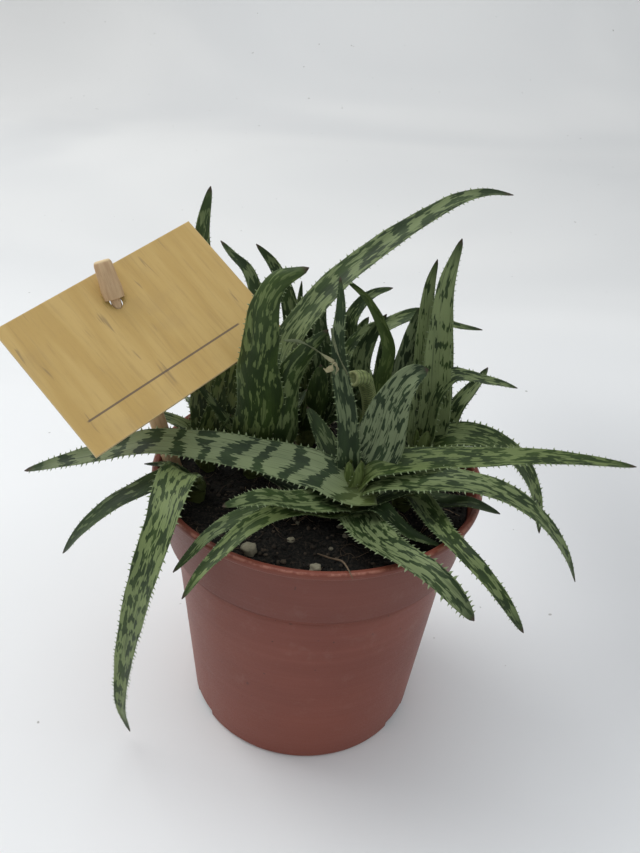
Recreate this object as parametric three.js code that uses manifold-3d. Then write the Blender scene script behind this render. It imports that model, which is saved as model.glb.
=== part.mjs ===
// A potted spider aloe: a clump of toothed, mottled rosettes in a thin round nursery pot,
// with a small care card threaded on a wooden dowel.
// Millimetres, +Z up. The origin is the middle of the pot's flat base.
// Headings are degrees seen from above: 0 is +X (right), 90 is +Y (away from the viewer).

import * as THREE from "three";
import { mergeVertices } from "three/addons/utils/BufferGeometryUtils.js";
import Module from "manifold-3d";

const wasm = await Module();
wasm.setup();

// Driving dimensions
const GAP = 0.3;
const SLIVER = 0.05;

const POT = {
  height: 107,
  lipRadius: 60,
  lipHeight: 2.2,
  collarTopRadius: 58.4,
  collarFootRadius: 55.2,
  collarFoot: 80,
  bodyTopRadius: 52.2,
  baseRadius: 45.4,
  wall: 1.2,
  floor: 1.6,
  sides: 48,
};
const NOTCH = { headings: [-148, -30, 90], width: 14, height: 3.6, depth: 6 };

const SOIL = { level: 98, bump: 0.9, rings: 7, sides: 32 };

const DOWEL = { radius: 3, foot: [-50.4, -6, 98], buried: 46, pastCard: 14.5, chamfer: 0.7, sides: 16 };
const CARD = {
  long: 80,
  short: 54,
  thick: 1,
  centre: [-62, 2, 154],
  faceHeading: -68,
  faceRise: 53,
  roll: 29,
  hole: [-1.5, 14.3],
};

const STEM = { buried: 24, sides: 12 };

const TOOTH = { height: 1.7, base: 1.7, sweep: 0.35, perSegment: 2 };
const LEAF = {
  segment: 12,
  neck: 0.7,
  taper: 0.62,
  thickTaper: 0.6,
  tip: 0.35,
  channel: 0.16,
  thickShare: 0.27,
};

const STALK = { standsIn: "rosette_centre", radius: 2.6, bore: 1.7, sides: 12, steps: 10 };
const STALK_ROUTE = [[18, 19, 106], [18.5, 16, 124], [17.5, 10, 136], [14, 5.5, 141.5], [8, 2, 143.5]];

// Each rosette grows on a short stem at a place in the pot.
// A leaf has a heading, a width, a roll of its blade about its midrib, and a path along its
// midrib: how far out from the stem, how high, and how far it drifts to the left of its heading.
const ROSETTES = [
  {
    name: "rosette_front",
    at: [12, -18],
    stem: [[4.2, 104], [5, 109], [3.4, 114], [1.2, 117]],
    leaves: [
      { heading: 176, width: 16, roll: -24,
        path: [[-8, 112, 2], [0, 113, 4], [11, 117, 3], [22, 118, 1], [36, 119], [53, 120], [71, 119],
          [89, 112], [104, 106], [118, 100]] },
      { heading: 6, width: 12, roll: 14,
        path: [[0, 110], [6, 119], [12, 121], [26, 123], [43, 124], [64, 125], [82, 124], [99, 122]] },
      { heading: -12, width: 13, roll: 12,
        path: [[0, 107], [6, 114], [12, 117], [22, 119], [39, 122], [53, 120], [66, 112], [75, 101],
          [80, 91]] },
      { heading: -62, width: 16, roll: 0,
        path: [[0, 101], [5, 103], [16, 105, -2], [30, 110, -4], [40, 112, -2], [48, 112, 1],
          [55, 109, 5], [60, 99, 12]] },
      { heading: 90, width: 11, roll: 0,
        path: [[0, 108], [2, 122, 2], [5, 137, 4], [9, 148, 7], [13, 159, 9], [18, 169, 9],
          [22, 178, 10]] },
      { heading: 30, width: 21, roll: 50,
        path: [[0, 110], [4, 117], [8, 124], [10, 132], [12, 141], [15, 147], [19, 151], [25, 152]] },
      { heading: 216, width: 12, roll: -10,
        path: [[0, 102], [6, 106], [13, 109], [29, 114], [40, 114], [49, 113], [56, 110], [61, 106],
          [67, 101]] },
      { heading: 225, width: 12, roll: -10,
        path: [[0, 101], [6, 104], [14, 107], [24, 113], [37, 117], [47, 115], [56, 111], [63, 107],
          [70, 100]] },
      { heading: 190, width: 11, roll: -10,
        path: [[0, 101], [10, 102], [18, 104], [26, 106], [35, 107], [44, 103]] },
      { heading: 172, width: 9, roll: 0, path: [[0, 102], [10, 104], [18, 105], [24, 107], [34, 111]] },
      { heading: 5, width: 12, roll: 0,
        path: [[0, 103], [6, 106], [12, 109], [20, 112], [28, 113], [41, 113]] },
      { heading: -33, width: 10, roll: 0,
        path: [[0, 100], [6, 105], [12, 108], [18, 105], [25, 103], [36, 104]] },
      { heading: 128, width: 13, roll: 0, path: [[0, 104], [6, 111], [14, 118], [22, 124], [29, 128]] },
    ],
  },
  {
    name: "rosette_right_front",
    at: [31, -10],
    stem: [[3.6, 101], [4, 105], [1.2, 108]],
    leaves: [
      { heading: -64, width: 10, roll: 0,
        path: [[0, 100, 2], [5, 106, 2], [16, 107, 1], [29, 110, -2], [40, 112, -3], [49, 109],
          [56, 102, 5], [61, 90, 12]] },
      { heading: -26, width: 11, roll: 0, path: [[0, 102], [8, 105], [16, 107], [24, 110], [35, 110]] },
      { heading: 75, width: 7, roll: 0, path: [[0, 100], [4, 108], [12, 112]] },
    ],
  },
  {
    name: "rosette_right_back",
    at: [38, 14],
    stem: [[4.2, 103], [4.4, 108], [1.2, 112]],
    leaves: [
      { heading: 120, width: 10, roll: -30,
        path: [[0, 105], [2, 115], [3, 128], [7, 147], [9, 163], [9, 172], [7, 181]] },
      { heading: 40, width: 13, roll: 50,
        path: [[0, 105], [4, 114], [4, 128], [1, 150], [0, 165], [0, 176], [4, 190]] },
      { heading: 60, width: 10, roll: 30,
        path: [[0, 104], [9, 110], [13, 122], [12, 133], [10, 144], [8, 155], [7, 166]] },
      { heading: 90, width: 17, roll: 0,
        path: [[0, 104], [5, 112, 8], [8, 120, 8], [10, 128, 8], [11, 139, 8], [12, 150, 7],
          [12, 161, 6]] },
      { heading: 20, width: 10, roll: 20,
        path: [[0, 105], [2, 118], [3, 132], [8, 139], [16, 138], [22, 136], [29, 134], [37, 131]] },
      { heading: 35, width: 10, roll: 20,
        path: [[0, 104], [8, 110], [12, 116], [16, 124], [21, 129], [25, 133], [28, 137]] },
      { heading: 5, width: 12, roll: 14,
        path: [[0, 104], [4, 111], [9, 114], [20, 115], [33, 110], [43, 100], [50, 87], [55, 69]] },
      { heading: 75, width: 10, roll: 0, path: [[0, 103], [8, 112], [20, 116], [35, 113], [46, 104]] },
    ],
  },
  {
    name: "rosette_left_back",
    at: [-24, 4],
    stem: [[4.2, 103], [4.4, 108], [1.2, 112]],
    leaves: [
      { heading: -90, width: 19, roll: 0,
        path: [[0, 106], [4, 118, 1], [7, 133, 2], [10, 147, 1], [12, 159, 2], [13, 171, 3],
          [13, 180, 7], [10, 184, 16]] },
      { heading: -20, width: 15, roll: -60,
        path: [[0, 105], [5, 109], [9, 116], [10, 130], [12, 142], [17, 152], [25, 163]] },
      { heading: 20, width: 15, roll: 20,
        path: [[0, 106], [2, 115], [4, 127], [7, 140], [11, 152], [19, 164], [28, 174], [38, 182],
          [48, 189], [58, 195], [68, 200], [78, 202], [88, 201]] },
      { heading: 172, width: 6, roll: -40, path: [[0, 105], [7, 114], [15, 124], [23, 134]] },
      { heading: 100, width: 8, roll: 0, path: [[0, 105], [3, 116], [8, 126], [15, 134]] },
      { heading: 34, width: 10, roll: 0, path: [[0, 103], [8, 112], [15, 121], [21, 129]] },
    ],
  },
  {
    name: "rosette_back",
    at: [-6, 28],
    stem: [[4.2, 103], [4.4, 108], [1.2, 112]],
    leaves: [
      { heading: 165, width: 10, roll: -45,
        path: [[0, 104], [5, 110], [9, 117, 2], [13, 133, 1], [18, 146, 1], [22, 155], [28, 165, -3],
          [34, 169, -4], [40, 173, -6]] },
      { heading: 150, width: 11, roll: -60,
        path: [[0, 105], [1, 117, 2], [2, 131, 4], [4, 144, 5], [6, 154, 6], [9, 164, 7], [14, 172, 8],
          [20, 178, 10]] },
      { heading: 150, width: 6, roll: -60,
        path: [[0, 105], [3, 122], [6, 141, -1], [8, 152, -2], [9, 163, -4]] },
      { heading: 0, width: 9, roll: 90,
        path: [[0, 105], [4, 116, -1], [6, 128, -2], [4, 140, -1], [2, 152], [3, 162, 2]] },
      { heading: 30, width: 8, roll: 40,
        path: [[0, 104], [9, 116], [15, 130], [16, 139], [16, 150], [20, 156], [25, 159], [33, 160]] },
      { heading: 12, width: 7, roll: 30,
        path: [[0, 105], [7, 120], [13, 134], [16, 141], [21, 146], [27, 149], [40, 154], [55, 149],
          [66, 147]] },
      { heading: 40, width: 8, roll: 40,
        path: [[0, 104], [9, 117], [15, 127], [20, 134], [22, 140], [27, 147]] },
      { heading: -10, width: 8, roll: 20, path: [[0, 103], [6, 108], [13, 115], [18, 124], [22, 134]] },
      { heading: -62, width: 13, roll: 0, path: [[0, 104], [4, 113], [7, 123], [8, 137]] },
      { heading: 68, width: 10, roll: 0,
        path: [[0, 103], [8, 112], [18, 117], [32, 116], [44, 110], [54, 100]] },
      { heading: 104, width: 11, roll: 0,
        path: [[0, 103], [8, 113], [18, 118], [32, 117], [46, 111], [58, 99]] },
      { heading: 140, width: 10, roll: 0,
        path: [[0, 103], [8, 112], [18, 116], [32, 115], [42, 110], [50, 103]] },
    ],
  },
  {
    name: "rosette_centre",
    at: [18, 20],
    stem: [[4.2, 102], [4.6, 108], [3.6, 112]],
    leaves: [
      { heading: 0, width: 7, roll: 80,
        path: [[0, 105], [2, 118], [3, 133], [4, 146], [1, 154], [-3, 161], [-7, 166], [-15, 172]] },
      { heading: 75, width: 7, roll: 30, path: [[0, 104], [7, 118], [10, 130], [9, 141], [8, 150]] },
      { heading: 100, width: 8, roll: 0, path: [[0, 103], [4, 115], [12, 123], [22, 127], [32, 125]] },
      { heading: 60, width: 8, roll: 0, path: [[0, 103], [5, 112], [12, 117], [20, 117]] },
    ],
  },
  {
    name: "rosette_left",
    at: [-43, -14],
    buried: 8,
    stem: [[3.6, 101], [4, 104], [1.2, 108]],
    leaves: [
      { heading: 240, width: 13, roll: 0,
        path: [[0, 104, -2], [9, 113, 2], [20, 115, 8], [33, 110, 14], [40, 96, 13], [42, 75, 8],
          [42, 50, 2], [41, 25, -2], [36, 4, -4]] },
      { heading: 214, width: 9, roll: 0,
        path: [[0, 103], [7, 111, 4], [14, 113, 5], [23, 112, 6], [31, 108, 4], [41, 98],
          [47, 86, -5]] },
      { heading: 178, width: 6, roll: 0, path: [[0, 104], [8, 110], [18, 110]] },
    ],
  },
  {
    name: "rosette_far_left",
    at: [-42, 5],
    stem: [[3.6, 101], [4, 106], [1.2, 110]],
    leaves: [
      { heading: 165, width: 8, roll: -10, path: [[0, 104], [7, 113], [17, 116], [28, 115]] },
      { heading: 75, width: 13, roll: 20,
        path: [[0, 104], [4, 118, -3], [9, 128, -4], [13, 135, -4], [22, 143], [31, 150, 5]] },
      { heading: 90, width: 14, roll: 0,
        path: [[0, 104], [5, 124], [15, 137, 3], [27, 148, 6], [38, 160, 8], [47, 175, 9],
          [53, 189, 7]] },
      { heading: -40, width: 5, roll: 0, path: [[0, 104], [5, 113], [9, 120], [13, 127]] },
      { heading: 112, width: 9, roll: 0, path: [[0, 103], [6, 112], [16, 116], [28, 113], [36, 106]] },
      { heading: 52, width: 7, roll: 0, path: [[0, 103], [4, 110], [9, 116], [14, 124]] },
    ],
  },
];

const COLOURS = {
  pot: new THREE.Color(0x8f4234),
  soil: new THREE.Color(0x1b1613),
  leaf: new THREE.Color(0x5c7350),
  stalk: new THREE.Color(0x9aa578),
  card: new THREE.Color(0xb3894f),
  dowel: new THREE.Color(0xbb9678),
};

// Small helpers

const radians = (degrees) => (degrees * Math.PI) / 180;

function material(colour, roughness) {
  return new THREE.MeshStandardMaterial({ color: colour, roughness, metalness: 0 });
}

function toSolid(geometry) {
  const bare = geometry.clone();
  bare.deleteAttribute("normal");
  bare.deleteAttribute("uv");
  const merged = mergeVertices(bare, 1e-4);
  return new wasm.Manifold(
    new wasm.Mesh({
      numProp: 3,
      vertProperties: merged.attributes.position.array,
      triVerts: new Uint32Array(merged.index.array),
    }),
  );
}

// The largest body of a solid, with any hollow that joining sealed left out, so it is filled.
function toGeometry(solid) {
  const bodies = solid.simplify(SLIVER).decompose().sort((a, b) => b.volume() - a.volume());
  const mesh = bodies[0].getMesh();
  const geometry = new THREE.BufferGeometry();
  geometry.setAttribute("position", new THREE.BufferAttribute(mesh.vertProperties, 3));
  geometry.setIndex(new THREE.BufferAttribute(mesh.triVerts, 1));
  geometry.computeVertexNormals();
  return geometry;
}

function fromTriangles(points, triangles) {
  const geometry = new THREE.BufferGeometry();
  geometry.setAttribute("position", new THREE.Float32BufferAttribute(points.flat(), 3));
  geometry.setIndex(triangles.flat());
  return geometry;
}

function lathe(profile, sides) {
  const points = profile.map(([radius, height]) => new THREE.Vector2(radius, height));
  return new THREE.LatheGeometry(points, sides).rotateX(Math.PI / 2);
}

// A round rod from one point to another, with its ends chamfered.
function rod(from, to, radius, sides, chamfer = 0) {
  const start = new THREE.Vector3(...from);
  const axis = new THREE.Vector3(...to).sub(start);
  const length = axis.length();
  const profile = chamfer
    ? [
        [0, 0], [radius - chamfer, 0], [radius, chamfer],
        [radius, length - chamfer], [radius - chamfer, length], [0, length],
      ]
    : [[0, 0], [radius, 0], [radius, length], [0, length]];
  const geometry = lathe(profile, sides);
  const turn = new THREE.Quaternion().setFromUnitVectors(new THREE.Vector3(0, 0, 1), axis.normalize());
  return geometry.applyQuaternion(turn).translate(start.x, start.y, start.z);
}

// Pot: a thin tapered shell with a collar, a rolled lip and notches at the foot for drainage

function potInside() {
  const { height, collarTopRadius, collarFootRadius, collarFoot } = POT;
  const { bodyTopRadius, baseRadius, wall, floor } = POT;
  return [
    [0, floor],
    [baseRadius - wall, floor],
    [bodyTopRadius - wall, collarFoot - 1],
    [collarFootRadius - wall, collarFoot + 1.5],
    [collarTopRadius - wall, height - 2],
    [collarTopRadius - wall + 0.3, height],
  ];
}

function potGeometry() {
  const { height, lipRadius, lipHeight, collarTopRadius, collarFootRadius, collarFoot } = POT;
  const { bodyTopRadius, baseRadius, sides } = POT;
  const outside = [
    [lipRadius - 0.5, height],
    [lipRadius, height - 0.6],
    [lipRadius, height - lipHeight],
    [collarTopRadius, height - lipHeight - 0.5],
    [collarFootRadius + 0.3, collarFoot + 2.5],
    [collarFootRadius - 0.5, collarFoot + 0.8],
    [bodyTopRadius + 0.3, collarFoot - 0.6],
    [bodyTopRadius - 0.1, collarFoot - 2.5],
    [baseRadius + 0.1, 1],
    [baseRadius - 0.8, 0],
    [0, 0],
  ];
  const profile = [...potInside(), ...outside].reverse();
  let pot = toSolid(lathe(profile, sides));
  for (const heading of NOTCH.headings) {
    const block = new THREE.BoxGeometry(NOTCH.depth, NOTCH.width, 2 * NOTCH.height);
    block.translate(baseRadius, 0, 0).rotateZ(radians(heading));
    pot = pot.subtract(toSolid(block));
  }
  return toGeometry(pot);
}

// Soil: fills the pot to a little under the lip, with a crumbly top

function soilHeight(radius, angle) {
  const waves = Math.sin(radius * 0.31 + 3 * angle) + Math.sin(radius * 0.17 - 5 * angle + 1.3);
  const crumbs = Math.sin(radius * 0.9 + 11 * angle) * 0.4;
  return SOIL.level + SOIL.bump * 0.4 * (waves + crumbs);
}

function soilGeometry() {
  const { level, rings, sides } = SOIL;
  const wall = potInside()
    .filter(([radius, height]) => radius > 0 && height < level)
    .map(([radius, height]) => [radius - GAP, height]);
  const top = wall[wall.length - 1];
  const slope = (POT.collarTopRadius - POT.collarFootRadius) / (POT.height - POT.collarFoot);
  const edge = top[0] + slope * (level - top[1]);
  wall[0][1] += GAP;
  const points = [[0, 0, wall[0][1]], [0, 0, soilHeight(0, 0)]];
  const ringRows = [...wall.map(([radius, height]) => ({ radius, height })), { radius: edge }];
  for (let ring = rings - 1; ring > 0; ring -= 1) ringRows.push({ radius: (edge * ring) / rings });
  for (const { radius, height } of ringRows) {
    for (let side = 0; side < sides; side += 1) {
      const angle = (2 * Math.PI * side) / sides;
      const z = height ?? soilHeight(radius, angle);
      points.push([radius * Math.cos(angle), radius * Math.sin(angle), z]);
    }
  }
  const at = (row, side) => 2 + row * sides + (side % sides);
  const last = ringRows.length - 1;
  const triangles = [];
  for (let side = 0; side < sides; side += 1) {
    triangles.push([0, at(0, side + 1), at(0, side)]);
    triangles.push([1, at(last, side), at(last, side + 1)]);
    for (let row = 0; row < last; row += 1) {
      triangles.push([at(row, side), at(row, side + 1), at(row + 1, side + 1)]);
      triangles.push([at(row, side), at(row + 1, side + 1), at(row + 1, side)]);
    }
  }
  return fromTriangles(points, triangles);
}

// Leaf: a keeled, channelled blade that tapers to a point, with hooked teeth along both margins

function leafWidthAt(share) {
  const neck = LEAF.neck + (1 - LEAF.neck) * Math.min(1, share / 0.12);
  return neck * (1 - share) ** LEAF.taper;
}

function leafFrames({ at, heading, path, roll, width }) {
  const along = new THREE.Vector3(Math.cos(radians(heading)), Math.sin(radians(heading)), 0);
  const left = new THREE.Vector3(-along.y, along.x, 0);
  const midrib = path.map(([reach, height, drift = 0]) =>
    new THREE.Vector3(at[0], at[1], height).addScaledVector(along, reach).addScaledVector(left, drift),
  );
  const curve = new THREE.CatmullRomCurve3(midrib, false, "centripetal");
  const count = Math.max(4, Math.round(curve.getLength() / LEAF.segment));
  const frames = [];
  for (let step = 0; step <= count; step += 1) {
    const share = step / count;
    const tangent = curve.getTangentAt(share);
    const side = left.clone().addScaledVector(tangent, -left.dot(tangent)).normalize();
    const up = tangent.clone().cross(side);
    side.applyAxisAngle(tangent, radians(roll));
    up.applyAxisAngle(tangent, radians(roll));
    const half = Math.max(LEAF.tip, (width / 2) * leafWidthAt(share));
    const thick = Math.max(LEAF.tip * 2, width * LEAF.thickShare * (1 - share) ** LEAF.thickTaper);
    frames.push({ middle: curve.getPointAt(share), tangent, side, up, half, thick });
  }
  return frames;
}

// The four corners of a blade's section: left margin, channel, right margin, keel.
function sectionPoints({ middle, side, up, half, thick }) {
  const point = (across, above) => middle.clone().addScaledVector(side, across).addScaledVector(up, above);
  const lift = LEAF.channel * half;
  return {
    left: point(half, lift),
    channel: point(0, thick * 0.25 - lift),
    right: point(-half, lift),
    keel: point(0, -thick * 0.75),
  };
}

function leafSolid(leaf) {
  const frames = leafFrames(leaf);
  const sections = frames.map(sectionPoints);
  const points = [];
  const triangles = [];
  const add = (vector) => points.push(vector.toArray()) - 1;
  const rows = sections.map((section) => ({
    left: add(section.left),
    channel: add(section.channel),
    right: add(section.right),
    keel: add(section.keel),
  }));

  // One margin between two sections: its own points and the teeth that stand out of it.
  function margin(step, which) {
    const from = sections[step][which];
    const to = sections[step + 1][which];
    const outward = frames[step].side.clone().multiplyScalar(which === "left" ? 1 : -1);
    const length = from.distanceTo(to);
    const isTip = step === sections.length - 2;
    const teeth = step === 0 ? 0 : isTip ? 1 : TOOTH.perSegment;
    const size = Math.min(1, frames[step].half / 3);
    const line = [rows[step][which]];
    for (let tooth = 0; tooth < teeth; tooth += 1) {
      const share = isTip ? 0.3 : (tooth + 0.5) / teeth;
      const halfBase = (TOOTH.base * size) / 2 / length;
      const apex = from.clone().lerp(to, share + (TOOTH.sweep * TOOTH.height * size) / length);
      apex.addScaledVector(outward, TOOTH.height * size);
      line.push(add(from.clone().lerp(to, share - halfBase)));
      line.push(add(apex));
      line.push(add(from.clone().lerp(to, share + halfBase)));
    }
    line.push(rows[step + 1][which]);
    return line;
  }

  // Joins a margin's fine points to the two points of a coarse line beside it.
  function strip(line, near, far, flip) {
    const turn = (a, b, c) => triangles.push(flip ? [a, c, b] : [a, b, c]);
    const middle = Math.floor(line.length / 2);
    for (let i = 0; i < middle; i += 1) turn(near, line[i], line[i + 1]);
    turn(near, line[middle], far);
    for (let i = middle; i < line.length - 1; i += 1) turn(far, line[i], line[i + 1]);
  }

  for (let step = 0; step < rows.length - 1; step += 1) {
    const near = rows[step];
    const far = rows[step + 1];
    const leftLine = margin(step, "left");
    const rightLine = margin(step, "right");
    strip(leftLine, near.channel, far.channel, true);
    strip(rightLine, near.channel, far.channel, false);
    strip(leftLine, near.keel, far.keel, false);
    strip(rightLine, near.keel, far.keel, true);
  }
  const root = rows[0];
  const tip = rows[rows.length - 1];
  triangles.push([root.left, root.keel, root.channel], [root.channel, root.keel, root.right]);
  triangles.push([tip.left, tip.channel, tip.keel], [tip.channel, tip.right, tip.keel]);
  return toSolid(fromTriangles(points, triangles));
}

// Rosette: every leaf sunk into one short stem

function stemFoot({ buried = STEM.buried }) {
  return SOIL.level - buried;
}

function stemSolid({ at, stem, buried }) {
  const base = stem[0][0];
  const foot = stemFoot({ buried });
  const profile = [[0, foot], [base, foot], ...stem, [0, stem[stem.length - 1][1]]];
  return toSolid(lathe(profile, STEM.sides).translate(at[0], at[1], 0));
}

function rosetteSolid(rosette) {
  return rosette.leaves.reduce(
    (whole, leaf) => whole.add(leafSolid({ ...leaf, at: rosette.at })),
    stemSolid(rosette),
  );
}

// Flower stalk: the cut stub of a spent bloom, a bent hollow tube that stands in a rosette's stem

function stalkRoute(sunk = 0) {
  const [[x, y, z], ...rest] = STALK_ROUTE;
  return new THREE.CatmullRomCurve3([[x, y, z - sunk], ...rest].map((point) => new THREE.Vector3(...point)));
}

function stalkTube(radius, sunk = 0) {
  const ring = Array.from({ length: STALK.sides }, (unused, side) => {
    const angle = (2 * Math.PI * side) / STALK.sides;
    return new THREE.Vector2(radius * Math.cos(angle), radius * Math.sin(angle));
  });
  const options = { steps: STALK.steps, extrudePath: stalkRoute(sunk), bevelEnabled: false };
  return toSolid(new THREE.ExtrudeGeometry(new THREE.Shape(ring), options));
}

function stalkGeometry() {
  const route = stalkRoute();
  const mouth = route.getPointAt(1);
  const outward = route.getTangentAt(1);
  const bore = rod(
    mouth.clone().addScaledVector(outward, -1.5).toArray(),
    mouth.clone().addScaledVector(outward, 1).toArray(),
    STALK.bore,
    STALK.sides,
  );
  return toGeometry(stalkTube(STALK.radius).subtract(toSolid(bore)));
}

// Card and dowel

function cardFrame() {
  const heading = radians(CARD.faceHeading);
  const rise = radians(CARD.faceRise);
  const roll = radians(CARD.roll);
  const face = new THREE.Vector3(
    Math.cos(rise) * Math.cos(heading),
    Math.cos(rise) * Math.sin(heading),
    Math.sin(rise),
  );
  const level = new THREE.Vector3(0, 0, 1).cross(face).normalize();
  const long = level.clone().applyAxisAngle(face, roll);
  const short = face.clone().cross(long);
  return new THREE.Matrix4().makeBasis(long, short, face).setPosition(...CARD.centre);
}

function dowelEnds() {
  const foot = new THREE.Vector3(...DOWEL.foot);
  const hole = new THREE.Vector3(...CARD.hole, 0).applyMatrix4(cardFrame());
  const along = hole.clone().sub(foot).normalize();
  return {
    bottom: foot.clone().addScaledVector(along, -DOWEL.buried).toArray(),
    top: hole.clone().addScaledVector(along, DOWEL.pastCard).toArray(),
  };
}

function cardGeometry() {
  const plate = new THREE.BoxGeometry(CARD.long, CARD.short, CARD.thick);
  plate.applyMatrix4(cardFrame());
  const { bottom, top } = dowelEnds();
  const hole = rod(bottom, top, DOWEL.radius + GAP, DOWEL.sides);
  return toGeometry(toSolid(plate).subtract(toSolid(hole)));
}

function dowelGeometry() {
  const { bottom, top } = dowelEnds();
  return rod(bottom, top, DOWEL.radius, DOWEL.sides, DOWEL.chamfer);
}

// Assembly

const group = new THREE.Group();

function place(name, geometry, colour, roughness) {
  const mesh = new THREE.Mesh(geometry, material(colour, roughness));
  mesh.name = name;
  group.add(mesh);
}

let soil = toSolid(soilGeometry());
for (const rosette of ROSETTES) {
  const [x, y] = rosette.at;
  const radius = rosette.stem[0][0] + GAP;
  const hole = rod([x, y, stemFoot(rosette) - GAP], [x, y, POT.height], radius, STEM.sides);
  soil = soil.subtract(toSolid(hole));
}
const dowelHole = dowelEnds();
soil = soil.subtract(toSolid(rod(dowelHole.bottom, dowelHole.top, DOWEL.radius + GAP, DOWEL.sides)));

place("pot", potGeometry(), COLOURS.pot, 0.55);
place("soil", toGeometry(soil), COLOURS.soil, 0.95);
for (const rosette of ROSETTES) {
  let solid = rosetteSolid(rosette);
  if (rosette.name === STALK.standsIn) solid = solid.subtract(stalkTube(STALK.radius + GAP, GAP));
  place(rosette.name, toGeometry(solid), COLOURS.leaf, 0.45);
}
place("flower_stalk_stub", stalkGeometry(), COLOURS.stalk, 0.5);
place("tag_card", cardGeometry(), COLOURS.card, 0.6);
place("tag_dowel", dowelGeometry(), COLOURS.dowel, 0.6);

export default group;
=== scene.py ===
"""The looks of a potted spider aloe: fine toothed leaves, moulded pot, loose soil, card and dowel.

Lengths are millimetres until a mesh is made; Blender's own are metres.
Headings are degrees seen from above: 0 is +X (right), 90 is +Y (away from the viewer).
"""

import math
import random

import bmesh
import bpy
import numpy as np
from mathutils import Matrix, Vector, noise


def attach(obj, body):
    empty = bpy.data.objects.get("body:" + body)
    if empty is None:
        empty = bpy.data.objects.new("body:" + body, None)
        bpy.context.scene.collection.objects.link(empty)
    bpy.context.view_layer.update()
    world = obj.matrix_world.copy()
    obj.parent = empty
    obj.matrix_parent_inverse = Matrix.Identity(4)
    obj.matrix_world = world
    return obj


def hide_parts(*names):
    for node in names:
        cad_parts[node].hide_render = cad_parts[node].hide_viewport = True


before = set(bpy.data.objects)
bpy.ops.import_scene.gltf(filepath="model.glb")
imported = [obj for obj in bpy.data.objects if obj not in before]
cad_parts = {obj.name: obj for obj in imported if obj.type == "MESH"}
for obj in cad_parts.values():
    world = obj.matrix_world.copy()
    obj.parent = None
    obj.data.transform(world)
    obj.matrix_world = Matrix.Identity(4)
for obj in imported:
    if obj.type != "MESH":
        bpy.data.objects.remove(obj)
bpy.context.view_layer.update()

MM = 0.001
SEED = 7

# Camera, solved from the rim, collar and foot of the pot
CAMERA = {
    "at": (0, -243, 272), "pitch": 31.5, "roll": 4.67, "yaw": 0.15, "focal_px": 800, "long_px": 853,
    "sensor": 36, "nearest": 10,
}

POT = {
    "height": 107, "lip_radius": 60, "lip_height": 2.2, "collar_top": 58.4, "collar_foot_radius": 55.2,
    "collar_foot": 80, "body_top": 52.2, "base": 45.4, "wall": 1.2, "floor": 1.6, "sides": 180,
    "softening": 0.9,
}
NOTCH = {"headings": (-148, -30, 90), "width": 14, "height": 3.6, "depth": 6}
# Edges that turn by more than this many degrees stay crisp
CREASE = {"pot": 32, "card": 25, "dowel": 40}

SOIL = {"level": 98, "swell": 0.5, "rings": 54, "sides": 170, "gap": 0.3, "stem_room": 4.8}
# Clods, lumps and grains of the soil's top: how fine, which layer of the noise, and how high
SOIL_RELIEF = [(0.09, 1.7, 1.5), (0.33, 4.1, 0.9), (1.1, 8.3, 0.5)]
CRUMB = {"count": 1500, "reach": 55, "size": (0.3, 0.9)}
GRIT = {"count": 16, "reach": 53, "radius": (0.5, 1.1), "tint": (0.2, 0.6), "perlite_tint": 0.75}
LUMP = {"rough": 0.42, "fineness": 1.4, "wide": (0.75, 1.25), "tall": (0.55, 0.9), "stand": 0.25}
FIBRE = {
    "count": 210, "start_reach": 50, "reach": 55, "steps": (4, 7), "step": 2.1, "stand": (0.15, 0.9),
    "bend": 0.5, "wander": 0.45, "radius": (0.08, 0.17), "around": 6,
    "taper": ((0, 0.15, 0.8, 1), (0.6, 1, 0.9, 0.35)),
}

DOWEL = {
    "radius": 3, "waist": 0.58, "foot": (-50.4, -6, 98), "buried": 46, "past_card": 14.5, "sides": 40,
    "flats": 7, "flat_depth": 0.02, "uneven": 0.004, "cut_face": 0.45,
}
# Places along the dowel from its foot, and counted back from its top, with its girth there
DOWEL_FOOT = [(0, 0.75), (0.7, 1)]
DOWEL_TOP = [
    (22, 1), (17, DOWEL["waist"]), (13.5, DOWEL["waist"]), (13.2, 1.16), (10, 1.24), (6.5, 1.13),
    (4, 1.1), (1.4, 1.05), (0.8, 0.99), (0.35, 0.92), (0.05, 0.78), (0, 0.4),
]
CARD = {
    "long": 80, "short": 54, "thick": 1, "bevel": 0.18, "columns": 40, "rows": 27,
    "centre": (-62, 2, 154), "face_heading": -68, "face_rise": 53, "roll": 29, "hole": (-1.5, 14.3),
    "hole_play": 0.4, "hole_sides": 32,
    "rule": {"y": -15.9, "from": -35.4, "to": 28.4, "width": 0.45},
}
# The mouth of the stalk's bore: depths below the cut end, and the bore's girth there
STALK = {
    "radius": 2.9, "bore": 1.9, "mouth": ((-0.01, 1), (0.7, 0.96), (1.5, 0.6)), "cut_girth": 0.95,
    "ribs": 9, "rib": 0.16, "sides": 54, "rings": 60,
}
STALK_ROUTE = [(18, 19, 106), (17.4, 16, 122), (15, 10, 135), (13, 5.5, 140.8), (9.2, 2, 142.4)]

STEM = {"buried": 8, "ring": 0.8, "around": 20, "scar": 0.05, "scar_pace": 2.4}
# Young leaves stand at the growing point of each stem that is taller than lowest_top
HEART = {"leaves": 5, "turn": 137.5, "spread": 3.4, "width": 9.5, "rise": 6.5, "lowest_top": 109}
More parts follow.
